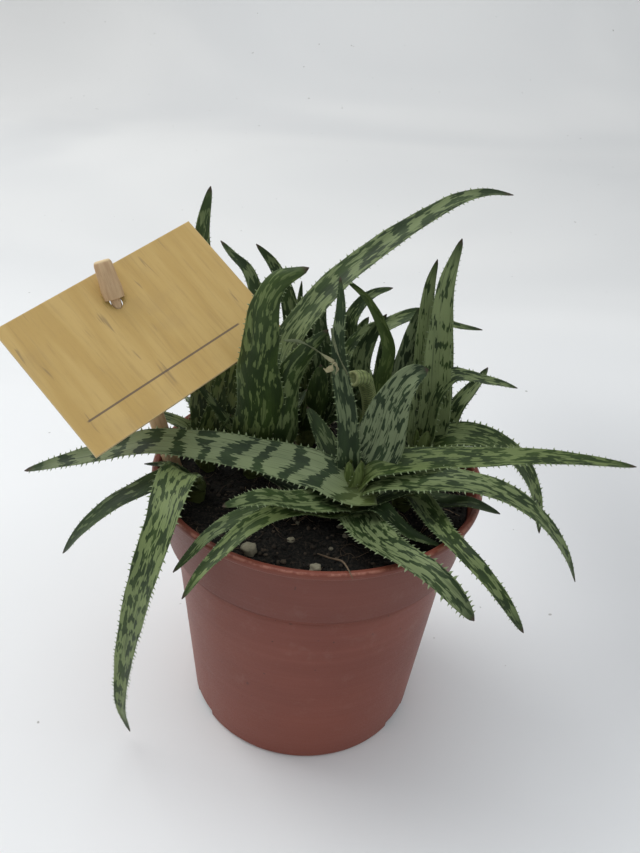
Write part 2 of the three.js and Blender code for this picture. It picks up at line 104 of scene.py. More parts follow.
# A wave of the margins is how much, over what length, and how many seeds it is shifted
LEAF = {
    "ring": 1.5, "fewest_rings": 14, "around": 20, "fuller": 1.05, "neck": 0.7, "neck_share": 0.12,
    "taper": 0.52, "least_half": 0.16, "waves": ((0.025, 4.1, 1), (0.015, 1.9, 2)), "thick": 0.27,
    "thick_taper": 0.6, "least_thick": 0.3, "crown": 0.25, "crown_curve": 1.5, "keel_curve": 1.7,
    "channel": 0.16, "rim": 0.3, "widest_rim": 0.42,
}
TOOTH = {
    "first": (6.5, 8.5), "bare_tip": 2.5, "pitch": 2.3, "gap": (0.75, 1.3), "height": 1.4, "least": 0.15,
    "vary": (0.6, 1.2), "lean": (-0.12, 0.2), "half_base": 0.52, "half_thick": 0.27, "sweep": 0.35,
    "sink": 0.4, "sides": 6,
}

# Lights: place and target in metres, size in metres, power in watts, and colour
LIGHTS = {
    "window_left": ((-1.15, 0.55, 1.25), (0, 0, 0.08), 1.1, 10, (1.0, 0.99, 0.97)),
    "sky_top": ((-0.35, 0.35, 1.7), (0, 0, 0.05), 1.4, 7, (0.97, 0.985, 1.0)),
}
SKY = {"colour": (0.94, 0.97, 1.0), "front": 0.55, "back": 1.05}
PAPER = {
    "front": -2500, "near": -600, "wall": 1500, "curve": 500, "top": 2600, "side": 3000, "arc_steps": 12,
}

# Each rosette: where its stem stands, the stem's outline as (radius, height), and its leaves as
# (heading, width, roll, tone, banding, pale, teeth, path). Roll is a pair where a leaf twists between
# its foot and its tip. Tone goes from 0, grey-green, to 1, olive; banding from 0, long patches, to 1,
# clear crossbands; pale from -1, all dark, to 1, mostly pale; teeth scales the size of the teeth.
# A path point is (reach from the stem, height, drift to the left of the heading).
ROSETTES = {
    "rosette_front": ((12, -18), [(4.2, 104), (5, 109), (3.4, 114), (1.2, 117)], [
        (176, 16, -24, 0.15, 1, 0.25, 0.85, [
            (-8, 112, 2), (0, 113, 4), (11, 117, 3), (22, 118, 1), (36, 119), (53, 120), (71, 119),
            (89, 112), (104, 106), (118, 100)]),
        (6, 12, 14, 0.75, 0.25, -0.15, 0.7, [
            (0, 110), (6, 119), (12, 121), (26, 123), (43, 124), (64, 125), (82, 124), (99, 122)]),
        (-12, 13, 12, 0.5, 0.2, 0, 0.75, [
            (0, 107), (6, 114), (12, 117), (22, 119), (39, 122), (53, 120), (66, 112), (75, 101),
            (80, 91)]),
        (-62, 16, 0, 0.35, 0.1, 0.1, 1, [
            (0, 101), (5, 103), (16, 105, -2), (30, 110, -4), (40, 112, -2), (48, 112, 1), (55, 109, 5),
            (60, 99, 12)]),
        (90, 8.5, 0, 0.1, 0.35, -0.35, 0.4, [
            (0, 108), (2, 122, 2), (5, 137, 4), (9, 148, 7), (13, 159, 9), (18, 169, 9), (22, 178, 10)]),
        (30, 21, 50, 0, 0.2, 0.18, 0.1, [
            (0, 110), (4, 117), (8, 124), (10, 132), (12, 141), (15, 147), (19, 151), (25, 152)]),
        (216, 10, -10, 0.6, 0.2, -0.35, 0.15, [
            (0, 102), (6, 106), (13, 109), (29, 114), (40, 114), (49, 113), (56, 110), (61, 106),
            (67, 101)]),
        (225, 10, -10, 0.75, 0.2, -0.05, 0.15, [
            (0, 101), (6, 104), (14, 107), (24, 113), (37, 116), (47, 115), (56, 111), (63, 107),
            (70, 100)]),
        (224, 13, -15, 0.45, 0.2, -0.1, 0.5, [
            (0, 104), (8, 108.5), (23.5, 114.5), (38.5, 123), (47.5, 125.5), (54.5, 127)]),
        (190, 11, -10, 0.3, 0.2, -0.5, 0.4, [
            (0, 101), (10, 102), (18, 104), (26, 106), (35, 107), (44, 103)]),
        (172, 9, 0, 0.3, 0.2, -0.5, 0.4, [(0, 102), (10, 104), (18, 105), (24, 107), (34, 111)]),
        (5, 15, 0, 0.4, 0.2, -0.5, 0.4, [(0, 103), (6, 106), (12, 109), (20, 112), (28, 113), (41, 113)]),
        (-33, 10, 0, 0.2, 0.2, -0.5, 0.3, [
            (0, 100), (6, 105), (12, 108), (18, 105), (25, 103), (36, 104)]),
        (128, 13, 0, 0.4, 0.3, -0.4, 0.3, [(0, 104), (6, 111), (14, 118), (22, 124), (29, 128)]),
        (68, 7, 0, 0.6, 0.3, -0.4, 0.3, [(0, 110), (3, 116), (5.5, 122), (6.6, 126.5)]),
    ]),
    "rosette_right_front": ((31, -10), [(3.6, 101), (4, 105), (1.2, 108)], [
        (-64, 10, 0, 0.6, 0.2, -0.1, 0.55, [
            (0, 100, 2), (5, 106, 2), (16, 107, 1), (29, 110, -2), (40, 112, -3), (49, 109), (56, 102, 5),
            (61, 90, 12)]),
        (-26, 11, 0, 0.4, 0.2, -0.7, 0.2, [(0, 102), (8, 105), (16, 107), (24, 110), (35, 110)]),
        (75, 7, 0, 0.4, 0.3, -0.3, 0.4, [(0, 100), (4, 108), (12, 112)]),
    ]),
    "rosette_right_back": ((38, 14), [(4.2, 103), (4.4, 108), (1.2, 112)], [
        (120, 10, -30, 0.5, 0.25, 0.6, 0.15, [
            (0, 105), (2, 115), (3, 128), (7, 147), (9, 163), (9, 172), (7, 181)]),
        (40, 13, 50, 0.5, 0.45, 0.5, 0.4, [
            (0, 105), (4, 114), (4, 128), (1, 150), (0, 165), (0, 176), (4, 190)]),
        (60, 10, 30, 0.6, 0.3, 0.3, 0.3, [
            (0, 104), (9, 110), (13, 122), (12, 133), (10, 144), (8, 155), (7, 166)]),
        (90, 17, 0, 0.1, 0.05, 0.25, 0.1, [
            (0, 104), (5, 112, 8), (8, 120, 8), (10, 128, 8), (11, 139, 8), (12, 150, 7), (12, 161, 6)]),
        (20, 10, 20, 0.5, 0.35, 0.1, 0.6, [
            (0, 105), (2, 118), (3, 132), (8, 139), (16, 138), (22, 136), (29, 134), (37, 131)]),
        (35, 10, 20, 0.5, 0.35, 0.1, 0.4, [
            (0, 104), (8, 110), (12, 116), (16, 124), (21, 129), (25, 133), (28, 137)]),
        (5, 12, (14, 62), 0.7, 0.45, -0.1, 0.9, [
            (0, 104), (4, 111), (9, 114), (20, 115), (33, 110), (43, 100), (50, 87), (55, 69)]),
        (75, 10, 0, 0.4, 0.5, -0.1, 0.7, [(0, 103), (8, 112), (20, 116), (35, 113), (46, 104)]),
    ]),
    "rosette_left_back": ((-24, 4), [(4.2, 103), (4.4, 108), (1.2, 112)], [
        (-90, 19, 0, 0.8, 0.1, -0.3, 0.5, [
            (0, 106), (4, 118, 1), (7, 133, 2), (10, 147, 1), (12, 159, 2), (13, 171, 3), (13, 180, 7),
            (10, 184, 16)]),
        (-20, 15, -60, 0.6, 0.3, -0.2, 0.5, [
            (0, 105), (5, 109), (9, 116), (10, 130), (12, 142), (17, 152), (25, 163)]),
        (20, 15, 20, 0.45, 0.4, -0.08, 0.6, [
            (0, 106), (2, 115), (4, 127), (7, 140), (11, 152), (19, 164), (28, 174), (38, 182), (48, 189),
            (58, 195), (68, 200), (78, 202), (88, 201)]),
        (172, 6, -40, 0.5, 0.3, -0.2, 0.4, [(0, 105), (7, 114), (15, 124), (23, 134)]),
        (100, 8, 0, 0.4, 0.3, -0.3, 0.3, [(0, 105), (3, 116), (8, 126), (15, 134)]),
        (34, 10, 0, 0.5, 0.3, -0.5, 0.3, [(0, 103), (8, 112), (15, 121), (21, 129)]),
    ]),
    "rosette_back": ((-6, 28), [(4.2, 103), (4.4, 108), (1.2, 112)], [
        (165, 10, -45, 0.4, 0.4, -0.2, 0.4, [
            (0, 104), (5, 110), (9, 117, 2), (13, 133, 1), (18, 146, 1), (22, 155), (28, 165, -3),
            (34, 169, -4), (40, 173, -6)]),
        (150, 11, -60, 0.5, 0.3, -0.2, 0.25, [
            (0, 105), (1, 117, 2), (2, 131, 4), (4, 144, 5), (6, 154, 6), (9, 164, 7), (14, 172, 8),
            (20, 178, 10)]),
        (150, 6, -60, 0.5, 0.3, -0.2, 0.3, [
            (0, 105), (3, 122), (6, 141, -1), (8, 152, -2), (9, 163, -4)]),
        (0, 12, 90, 0.3, 0.3, -0.3, 0.2, [
            (0, 105), (4, 116, -1), (6, 128, -2), (4, 140, -1), (2, 152), (3, 162, 2)]),
        (30, 10, 40, 0.5, 0.4, -0.2, 0.3, [
            (0, 104), (9, 116), (15, 130), (16, 139), (16, 150), (20, 156), (25, 159), (33, 160)]),
        (12, 9, 30, 0.5, 0.4, -0.1, 0.3, [
            (0, 105), (7, 120), (13, 134), (16, 141), (21, 146), (27, 149), (40, 154), (55, 149),
            (66, 147)]),
        (40, 12, 40, 0.5, 0.4, 0.1, 0.3, [
            (0, 104), (9, 117), (15, 127), (20, 134), (22, 140), (27, 147)]),
        (-10, 8, 20, 0.4, 0.3, -0.3, 0.4, [(0, 103), (6, 108), (13, 115), (18, 124), (22, 134)]),
        (-62, 16, 0, 0.7, 0.3, -0.4, 0.5, [(0, 104), (4, 113), (7, 123), (8, 137)]),
        (90, 12, 0, 0.4, 0.3, -0.35, 0.3, [(0, 104), (2, 120), (3, 136), (3, 150, -1), (4, 162, -3)]),
        (68, 10, 0, 0.4, 0.5, 0, 0.9, [(0, 103), (8, 112), (18, 117), (32, 116), (44, 110), (54, 100)]),
        (104, 11, 0, 0.4, 0.5, 0, 0.9, [(0, 103), (8, 113), (18, 118), (32, 117), (46, 111), (58, 99)]),
        (140, 10, 0, 0.4, 0.5, 0, 0.9, [(0, 103), (8, 112), (18, 116), (32, 115), (42, 110), (50, 103)]),
    ]),
    "rosette_centre": ((18, 20), [(4.2, 102), (4.6, 108), (3.6, 112)], [
        (0, 7, 80, 0.94, 0.1, -0.3, 0.05, [
            (0, 105), (2, 118), (3, 133), (4, 146), (1, 154), (-3, 161), (-7, 166), (-15, 172)]),
        (75, 9, 30, 0.5, 0.4, -0.1, 0.3, [(0, 104), (7, 118), (10, 130), (9, 141), (8, 150)]),
        (90, 12, 0, 0.4, 0.3, 0, 0.3, [
            (0, 104), (4, 114, 4), (6, 128, 6), (7, 140, 5), (7, 149, 2), (6, 157, -2)]),
        (100, 11, 0, 0.4, 0.4, -0.1, 0.6, [(0, 103), (4, 115), (12, 123), (22, 127), (32, 125)]),
        (60, 8, 0, 0.4, 0.4, -0.1, 0.6, [(0, 103), (5, 112), (12, 117), (20, 117)]),
    ]),
    "rosette_left": ((-43, -14), [(3.6, 101), (4, 104), (1.2, 108)], [
        (240, 13, 0, 0.7, 0.15, 0.12, 0.75, [
            (0, 104, -2), (9, 115, 2), (20, 118, 8), (33, 112, 14), (40, 97, 13), (42, 75, 8),
            (42, 50, 2), (41, 25, -2), (36, 4, -4)]),
        (214, 11, 0, 0.3, 0.1, -0.6, 0.5, [
            (0, 103), (7, 111, 4), (14, 113, 5), (23, 112, 6), (31, 108, 4), (41, 98), (47, 86, -5)]),
        (178, 6, 0, 0.3, 0.2, -0.3, 0.5, [(0, 104), (8, 110), (18, 110)]),
    ]),
    "rosette_far_left": ((-42, 5), [(3.6, 101), (4, 106), (1.2, 110)], [
        (165, 8, -10, 0.4, 0.3, -0.1, 0.5, [(0, 104), (7, 113), (17, 116), (28, 115)]),
        (75, 13, 20, 0.8, 0.35, -0.1, 0.5, [
            (0, 104), (4, 118, -3), (9, 128, -4), (13, 135, -4), (22, 143), (31, 150, 5)]),
        (90, 14, 0, 0.5, 0.35, -0.15, 0.3, [
            (0, 104), (5, 124), (15, 137, 3), (27, 148, 6), (38, 160, 8), (47, 175, 9), (53, 189, 7)]),
        (-40, 5, 0, 0.5, 0.3, -0.3, 0.4, [(0, 104), (5, 113), (9, 120), (13, 127)]),
        (112, 9, 0, 0.4, 0.4, -0.1, 0.7, [(0, 103), (6, 112), (16, 116), (28, 113), (36, 106)]),
        (52, 7, 0, 0.4, 0.4, -0.1, 0.6, [(0, 103), (4, 110), (9, 116), (14, 124)]),
    ]),
}

# Large grit lumps: x, y and radius
PERLITE = [(-20.2, -41.0, 2.6), (-7.1, -34.7, 1.3), (1.6, -48.6, 1.9)]
LOOSE_FIBRE = [
    (2, -41, 99.4), (6, -44.5, 101), (8, -48.5, 104), (10, -53, 107.2), (12, -58, 108),
    (13.2, -60.6, 107.3),
]
# Each shred: points of x, y, z, half its width, and its tint
SHREDS = [
    [
        (-14.5, -6, 158.5, 0.5, -0.1), (-9.5, -8, 159.5, 0.6, -0.05), (-4, -10, 158, 0.6, 0),
        (-0.5, -11.5, 156.5, 0.6, 0.2), (2, -12.5, 155.5, 0.7, 0.7),
    ],
    [
        (2, -12.5, 155.5, 0.7, 0.8), (1.5, -13, 153.5, 1.1, 1), (0, -13, 152.5, 1, 1),
        (-1, -13, 153, 0.4, 0.9),
    ],
    [(2, -12.5, 155.5, 0.5, 0.6), (3.5, -12.5, 153.5, 0.7, 0.8), (3, -12.5, 151, 0.3, 0.5)],
    [
        (0.5, -6.5, 164.5, 0.35, 0), (1.5, -8, 161, 0.5, 0.05), (3, -10.5, 158, 0.45, 0.1),
        (5, -13, 155, 0.4, 0.1), (7, -11, 150.5, 0.3, 0.1),
    ],
]
SHRED = {"rings": 24, "around": 8, "half_thick": 0.16, "twist": 0.9, "twist_pace": 0.35}


# Meshes


def add_object(name, verts, faces, attributes=None):
    mesh = bpy.data.meshes.new(name)
    mesh.from_pydata((np.asarray(verts, float) * MM).tolist(), [], faces)
    mesh.polygons.foreach_set("use_smooth", [True] * len(mesh.polygons))
    for key, values in (attributes or {}).items():
        set_attribute(mesh, key, values)
    obj = bpy.data.objects.new(name, mesh)
    bpy.context.scene.collection.objects.link(obj)
    return obj


def set_attribute(mesh, key, values):
    layer = mesh.attributes.new(key, "FLOAT", "POINT")
    layer.data.foreach_set("value", np.asarray(values, np.float32))


def smooth_by_angle(obj, degrees):
    """Smooth shading that keeps the edges sharper than the angle crisp."""
    work = bmesh.new()
    work.from_mesh(obj.data)
    for edge in work.edges:
        edge.smooth = len(edge.link_faces) != 2 or edge.calc_face_angle() < math.radians(degrees)
    for face in work.faces:
        face.smooth = True
    work.to_mesh(obj.data)
    work.free()


def cut(obj, cutters):
    """Takes the cutters out of the object and removes them."""
    for cutter in cutters:
        modifier = obj.modifiers.new("cut", "BOOLEAN")
        modifier.operation = "DIFFERENCE"
        modifier.object = cutter
    mesh = bpy.data.meshes.new_from_object(obj.evaluated_get(bpy.context.evaluated_depsgraph_get()))
    obj.modifiers.clear()
    obj.data = mesh
    for cutter in cutters:
        bpy.data.objects.remove(cutter)


def turns(count):
    """Angles evenly spaced round a circle."""
    return 2 * np.pi * np.arange(count) / count


def unit(vectors):
    """The same directions, each one long."""
    return vectors / np.linalg.norm(vectors, axis=1)[:, None]


def bands(first, rings, around):
    """Quads between successive rings of points, from the first point on."""
    faces = []
    for start in range(first, first + (rings - 1) * around, around):
        for k in range(around):
            after = (k + 1) % around
            faces.append((start + k, start + after, start + around + after, start + around + k))
    return faces


def ring_faces(rings, around):
    """Quads between successive rings of points, and a cap at each end."""
    caps = [tuple(reversed(range(around))), tuple(range((rings - 1) * around, rings * around))]
    return bands(0, rings, around) + caps


def soften(profile, distance):
    """Rounds each inner corner of a profile, starting the bend this far from the corner."""
    points = [np.array(p, float) for p in profile]
    out = [points[0]]
    for before, corner, after in zip(points, points[1:], points[2:]):
        back, ahead = before - corner, after - corner
        reach = min(distance, 0.4 * np.linalg.norm(back), 0.4 * np.linalg.norm(ahead))
        start = corner + back / np.linalg.norm(back) * reach
        end = corner + ahead / np.linalg.norm(ahead) * reach
        for t in (0, 0.33, 0.67, 1):
            out.append((1 - t) ** 2 * start + 2 * t * (1 - t) * corner + t**2 * end)
    out.append(points[-1])
    return [tuple(p) for p in out]


def lathe(name, profile, sides):
    """A closed turned body from a profile that starts and ends on the axis."""
    verts = [(0, 0, profile[0][1])]
    for radius, height in profile[1:-1]:
        for k in range(sides):
            angle = 2 * math.pi * k / sides
            verts.append((radius * math.cos(angle), radius * math.sin(angle), height))
    verts.append((0, 0, profile[-1][1]))
    rings = len(profile) - 2
    last = 1 + (rings - 1) * sides
    faces = [(0, 1 + (k + 1) % sides, 1 + k) for k in range(sides)]
    faces += bands(1, rings, sides)
    faces += [(last + k, last + (k + 1) % sides, len(verts) - 1) for k in range(sides)]
    return add_object(name, verts, faces)


def frame_along(line):
    """Two directions square to a line, and to each other, at each of its points."""
    tangents = unit(np.gradient(line, axis=0))
    first = np.cross(tangents[0], (0.0, 0.0, 1.0))
    if np.linalg.norm(first) < 1e-6:
        first = np.array((1.0, 0.0, 0.0))
    sides = []
    for tangent in tangents:
        first = first - tangent * (first @ tangent)
        first = first / np.linalg.norm(first)
        sides.append(first)
    sides = np.array(sides)
    return sides, np.cross(tangents, sides)


def tube_points(line, radii, around):
    """Rings of points round a line; radii has a value for each ring, or for each ring and angle."""
    sides, ups = frame_along(line)
    angles = turns(around)
    radii = np.asarray(radii, float).reshape(len(line), -1, 1)
    circle = np.cos(angles)[None, :, None] * sides[:, None] + np.sin(angles)[None, :, None] * ups[:, None]
    return (line[:, None] + radii * circle).reshape(-1, 3)


def smooth_route(points, per_span=24):
    """A smooth line through the points: the same centripetal curve that the solids follow."""
    p = np.asarray(points, float)
    p = np.vstack([2 * p[0] - p[1], p, 2 * p[-1] - p[-2]])
    t = np.linspace(0, 1, per_span, endpoint=False)[:, None]
    line = []
    for p0, p1, p2, p3 in zip(p, p[1:], p[2:], p[3:]):
        d0, d1, d2 = (np.linalg.norm(b - a) ** 0.5 for a, b in ((p0, p1), (p1, p2), (p2, p3)))
        t1 = ((p1 - p0) / d0 - (p2 - p0) / (d0 + d1) + (p2 - p1) / d1) * d1
        t2 = ((p2 - p1) / d1 - (p3 - p1) / (d1 + d2) + (p3 - p2) / d2) * d1
        line.append(p1 + t1 * t + (3 * (p2 - p1) - 2 * t1 - t2) * t**2 + (2 * (p1 - p2) + t1 + t2) * t**3)
    line.append(p[-2][None])
    return np.vstack(line)


def even_points(line, count):
    """The line again as this many evenly spaced points, and its length."""
    steps = np.linalg.norm(np.diff(line, axis=0), axis=1)
    run = np.concatenate([[0], np.cumsum(steps)])
    places = np.linspace(0, run[-1], count)
    return np.stack([np.interp(places, run, line[:, k]) for k in range(3)], axis=1), run[-1]


class Pieces:
    """The points, faces and surface coordinates of the many small solids of one object."""

    def __init__(self, keys):
        self.verts, self.faces, self.count = [], [], 0
        self.values = {key: [] for key in keys}

    def add(self, verts, faces, **values):
        self.verts.append(verts)
        self.faces += [tuple(index + self.count for index in face) for face in faces]
        self.count += len(verts)
        for key, parts in self.values.items():
            parts.append(np.broadcast_to(np.asarray(values.get(key, 0.0), float), (len(verts),)))

    def build(self, name):
        attributes = {key: np.concatenate(parts) for key, parts in self.values.items()}
        return add_object(name, np.vstack(self.verts), self.faces, attributes)


# Leaves

LEAF_KEYS = (
    "along", "across", "share", "edge", "under", "tooth", "seed", "tone", "banding", "pale", "stem",
    "young",
)


def leaf_width(share):
    neck = LEAF["neck"] + (1 - LEAF["neck"]) * np.minimum(1, share / LEAF["neck_share"])
    return neck * (1 - share) ** LEAF["taper"]


def grow_leaf(cluster, at, leaf, rng, young=0.0):
    heading, width, roll, tone, banding, pale, teeth, path = leaf
    seed = rng.uniform(0, 40)
    angle = math.radians(heading)
    outward = np.array((math.cos(angle), math.sin(angle), 0.0))
    left = np.array((-outward[1], outward[0], 0.0))
    points = []
    for reach, height, *drift in path:
        points.append(np.array((*at, height)) + reach * outward + (drift[0] if drift else 0) * left)
    line = smooth_route(points)
    _, length = even_points(line, 2)
    rings = max(LEAF["fewest_rings"], int(length / LEAF["ring"]))
    middle, length = even_points(line, rings)
    share = np.linspace(0, 1, rings)
    along = share * length

    tangent = unit(np.gradient(middle, axis=0))
    side = unit(left - tangent * (tangent @ left)[:, None])
    up = np.cross(tangent, side)
    rolls = roll if isinstance(roll, tuple) else (roll, roll)
    turn = np.radians(np.interp(share, (0, 1), rolls))[:, None]
    side, up = np.cos(turn) * side + np.sin(turn) * up, np.cos(turn) * up - np.sin(turn) * side

    wave = 1
    for swell, span, shift in LEAF["waves"]:
        wave = wave + swell * np.sin(along / span + shift * seed)
    half = np.maximum(LEAF["least_half"], LEAF["fuller"] * width / 2 * leaf_width(share) * wave)
    thick = np.maximum(LEAF["least_thick"], width * LEAF["thick"] * (1 - share) ** LEAF["thick_taper"])

    around = LEAF["around"]
    angles = turns(around)
    outwards, upwards = np.cos(angles)[None], np.sin(angles)[None]
    lift = (LEAF["channel"] * half)[:, None]
    rim = np.minimum(LEAF["widest_rim"], LEAF["rim"] * thick)[:, None]
    crown = LEAF["crown"] * thick[:, None] - lift - rim
    keel = (1 - LEAF["crown"]) * thick[:, None] - rim
    over = crown * (1 - np.abs(outwards) ** LEAF["crown_curve"])
    below = -keel * (1 - np.abs(outwards) ** LEAF["keel_curve"])
    height = lift * outwards**2 + np.where(upwards >= 0, over, below) + rim * upwards
    across = outwards * half[:, None]
    verts = middle[:, None] + across[..., None] * side[:, None] + height[..., None] * up[:, None]

    cluster.add(
        verts.reshape(-1, 3),
        ring_faces(rings, around),
        along=np.repeat(along, around),
        across=across.ravel(),
        share=np.repeat(share, around),
        edge=np.tile(np.abs(outwards[0]) ** 10, rings),
        under=np.tile(0.5 - 0.5 * np.clip(3 * upwards[0], -1, 1), rings),
        seed=seed,
        tone=tone,
        banding=banding,
        pale=pale,
        young=young,
    )
    lines = {"middle": middle, "side": side, "up": up, "tangent": tangent}
    grow_teeth(cluster, rng, length, share, lines, half, teeth, {"tone": tone, "seed": seed})


def grow_teeth(cluster, rng, length, share, lines, half, teeth, look):
    """Hooked teeth along both margins, smaller towards the tip and on narrow leaves."""
    around = TOOTH["sides"]
    angles = turns(around)
    grown = [0.25] * around + [0.75] * around + [1.0]
    faces = bands(0, 2, around)
    faces += [(around + k, around + (k + 1) % around, 2 * around) for k in range(around)]
    for margin in (1, -1):
        place = rng.uniform(*TOOTH["first"])
        turned = faces if margin > 0 else [tuple(reversed(face)) for face in faces]
        while place < length - TOOTH["bare_tip"]:
            t = place / length
            at = {}
            for key, line in lines.items():
                at[key] = np.array([np.interp(t, share, line[:, k]) for k in range(3)])
            wide = float(np.interp(t, share, half))
            size = (TOOTH["least"] + (1 - TOOTH["least"]) * teeth) * rng.uniform(*TOOTH["vary"])
            size *= min(1.0, 0.35 + wide / 4.5)
            out, ahead = margin * at["side"], at["tangent"]
            root = at["middle"] + out * wide + at["up"] * LEAF["channel"] * wide
            rise = TOOTH["height"] * size
            lean = rng.uniform(*TOOTH["lean"]) * rise
            # A foot sunk into the margin, a waist halfway up, and the hooked point
            points = []
            for stand, grow, forward in ((-TOOTH["sink"], 1.0, 0.0), (0.5 * rise, 0.5, 0.12 * rise)):
                centre = root + out * stand + ahead * forward
                for angle in angles:
                    points.append(
                        centre
                        + ahead * math.cos(angle) * TOOTH["half_base"] * size * grow
                        + at["up"] * math.sin(angle) * TOOTH["half_thick"] * size * grow
                    )
            points.append(root + out * rise + ahead * TOOTH["sweep"] * rise + at["up"] * lean)
            cluster.add(np.array(points), turned, along=place, across=margin * wide, share=t,
                        edge=1.0, tooth=grown, **look)
            place += TOOTH["pitch"] * rng.uniform(*TOOTH["gap"]) * (0.75 + 0.25 * min(1.0, wide / 5))


def grow_stem(cluster, at, outline, rng):
    """The short stem, ringed by the scars of old leaves."""
    bottom, around = SOIL["level"] - STEM["buried"], STEM["around"]
    heights = np.arange(bottom, outline[-1][1] + 0.01, STEM["ring"])
    stations = [bottom, *[height for _, height in outline]]
    radii = np.interp(heights, stations, [outline[0][0], *[radius for radius, _ in outline]])
    radii = radii * (1 + STEM["scar"] * np.sin(heights * STEM["scar_pace"]))
    angles = turns(around)
    rings = []
    for radius, height in zip(radii, heights):
        xs, ys = at[0] + radius * np.cos(angles), at[1] + radius * np.sin(angles)
        rings.append(np.stack([xs, ys, np.full(around, height)], axis=1))
    cluster.add(np.vstack(rings), ring_faces(len(rings), around), along=np.repeat(heights - bottom, around),
                across=np.tile(4 * np.cos(angles), len(rings)), share=0.02, under=1.0, stem=1.0,
                seed=rng.uniform(0, 40), tone=0.9)


def grow_heart(cluster, at, top, rng):
    """The young leaves that stand in a funnel at the growing point."""
    turn = rng.uniform(0, 360)
    for k in range(HEART["leaves"]):
        heading = turn + k * HEART["turn"]
        width = HEART["width"] - 0.4 * k
        spread = HEART["spread"] * (1 - 0.12 * k)
        tip = top + HEART["rise"] - 0.5 * k
        path = [(0.6, top - 11), (0.6 * spread, top - 5), (0.85 * spread, top), (spread, tip)]
        grow_leaf(cluster, at, (heading, width, 0, 0.7, 0.3, -0.1, 0.5, path), rng, young=1.0)


def make_rosette(name, spec, material):
    at, outline, leaves = spec
    rng = random.Random(f"{SEED}-{name}")
    cluster = Pieces(LEAF_KEYS)
    grow_stem(cluster, at, outline, rng)
    for leaf in leaves:
        grow_leaf(cluster, at, leaf, rng)
    if outline[-1][1] > HEART["lowest_top"]:
        grow_heart(cluster, at, outline[-1][1], rng)
    obj = cluster.build(name + "_leaves")
    obj.data.materials.append(material)
    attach(obj, "root")
    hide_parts(name)


# Shader graphs


class Graph:
    """The node graph of one material, built from small steps."""

    def __init__(self, name, roughness, specular):
        self.material = bpy.data.materials.new(name)
        self.material.use_nodes = True
        self.tree = self.material.node_tree
        self.shader = next(n for n in self.tree.nodes if n.type == "BSDF_PRINCIPLED")
        self.shader.inputs["Specular IOR Level"].default_value = specular
        self.feed(self.shader.inputs["Roughness"], roughness)
        self.body = None

    def feed(self, socket, value):
        if isinstance(value, bpy.types.NodeSocket):
            self.tree.links.new(value, socket)
        elif socket.type == "RGBA":
            socket.default_value = (*value, 1.0)
        else:
            socket.default_value = value

    def node(self, kind, inputs, output=0, **settings):
        made = self.tree.nodes.new(kind)
        for key, value in settings.items():
            setattr(made, key, value)
        for key, value in inputs.items():
            self.feed(made.inputs[key], value)
        return made.outputs[output]

    def attribute(self, name):
        return self.node("ShaderNodeAttribute", {}, "Fac", attribute_name=name)

    def math(self, operation, a, b=0.0, clamp=False):
        return self.node("ShaderNodeMath", {0: a, 1: b}, operation=operation, use_clamp=clamp)

    def times(self, a, b):
        return self.math("MULTIPLY", a, b)

    def plus(self, a, b, clamp=False):
        return self.math("ADD", a, b, clamp)

    def minus(self, a, b, clamp=False):
        return self.math("SUBTRACT", a, b, clamp)

    def combine(self, x, y, z=0.0):
        return self.node("ShaderNodeCombineXYZ", {0: x, 1: y, 2: z})

    def scaled(self, vector, x, y, z):
        return self.node("ShaderNodeVectorMath", {0: vector, 1: (x, y, z)}, operation="MULTIPLY")

    def place_mm(self):
        """The point on the object, in millimetres."""
        coordinates = self.node("ShaderNodeTexCoord", {}, "Object")
        return self.scaled(coordinates, 1 / MM, 1 / MM, 1 / MM)

    def split(self, vector):
        made = self.tree.nodes.new("ShaderNodeSeparateXYZ")
        self.feed(made.inputs[0], vector)
        return tuple(made.outputs)

    def noise(self, vector, scale, detail, roughness=0.5, distortion=0.0):
        inputs = {"Vector": vector, "Scale": scale, "Detail": detail}
        inputs |= {"Roughness": roughness, "Distortion": distortion}
        return self.node("ShaderNodeTexNoise", inputs)

    def stretched(self, x, y, x_scale, y_scale, layer, detail=2.0, roughness=0.5, distortion=0.0):
        """Noise with its own scale each way; each layer is different."""
        place = self.combine(self.times(x, x_scale), self.times(y, y_scale), layer)
        return self.noise(place, 1.0, detail, roughness, distortion)

    def step(self, value, low, high, to_low=0.0, to_high=1.0):
        """Rises smoothly from to_low to to_high as the value goes from low to high."""
        inputs = {0: value, 1: low, 2: high, 3: to_low, 4: to_high}
        return self.node("ShaderNodeMapRange", inputs, interpolation_type="SMOOTHSTEP")

    def mix(self, share, a, b):
        return self.node("ShaderNodeMix", {0: share, 6: a, 7: b}, 2, data_type="RGBA")

    def bump(self, height, distance_mm, strength):
        inputs = {"Height": height, "Distance": distance_mm * MM, "Strength": strength}
        self.feed(self.shader.inputs["Normal"], self.node("ShaderNodeBump", inputs))

    def over(self, share, colour):
        """Lays a colour over the body's own, as far as the share says."""
        self.body = self.mix(share, self.body, colour)

    def coloured(self):
        self.feed(self.shader.inputs["Base Color"], self.body)
        return self.material


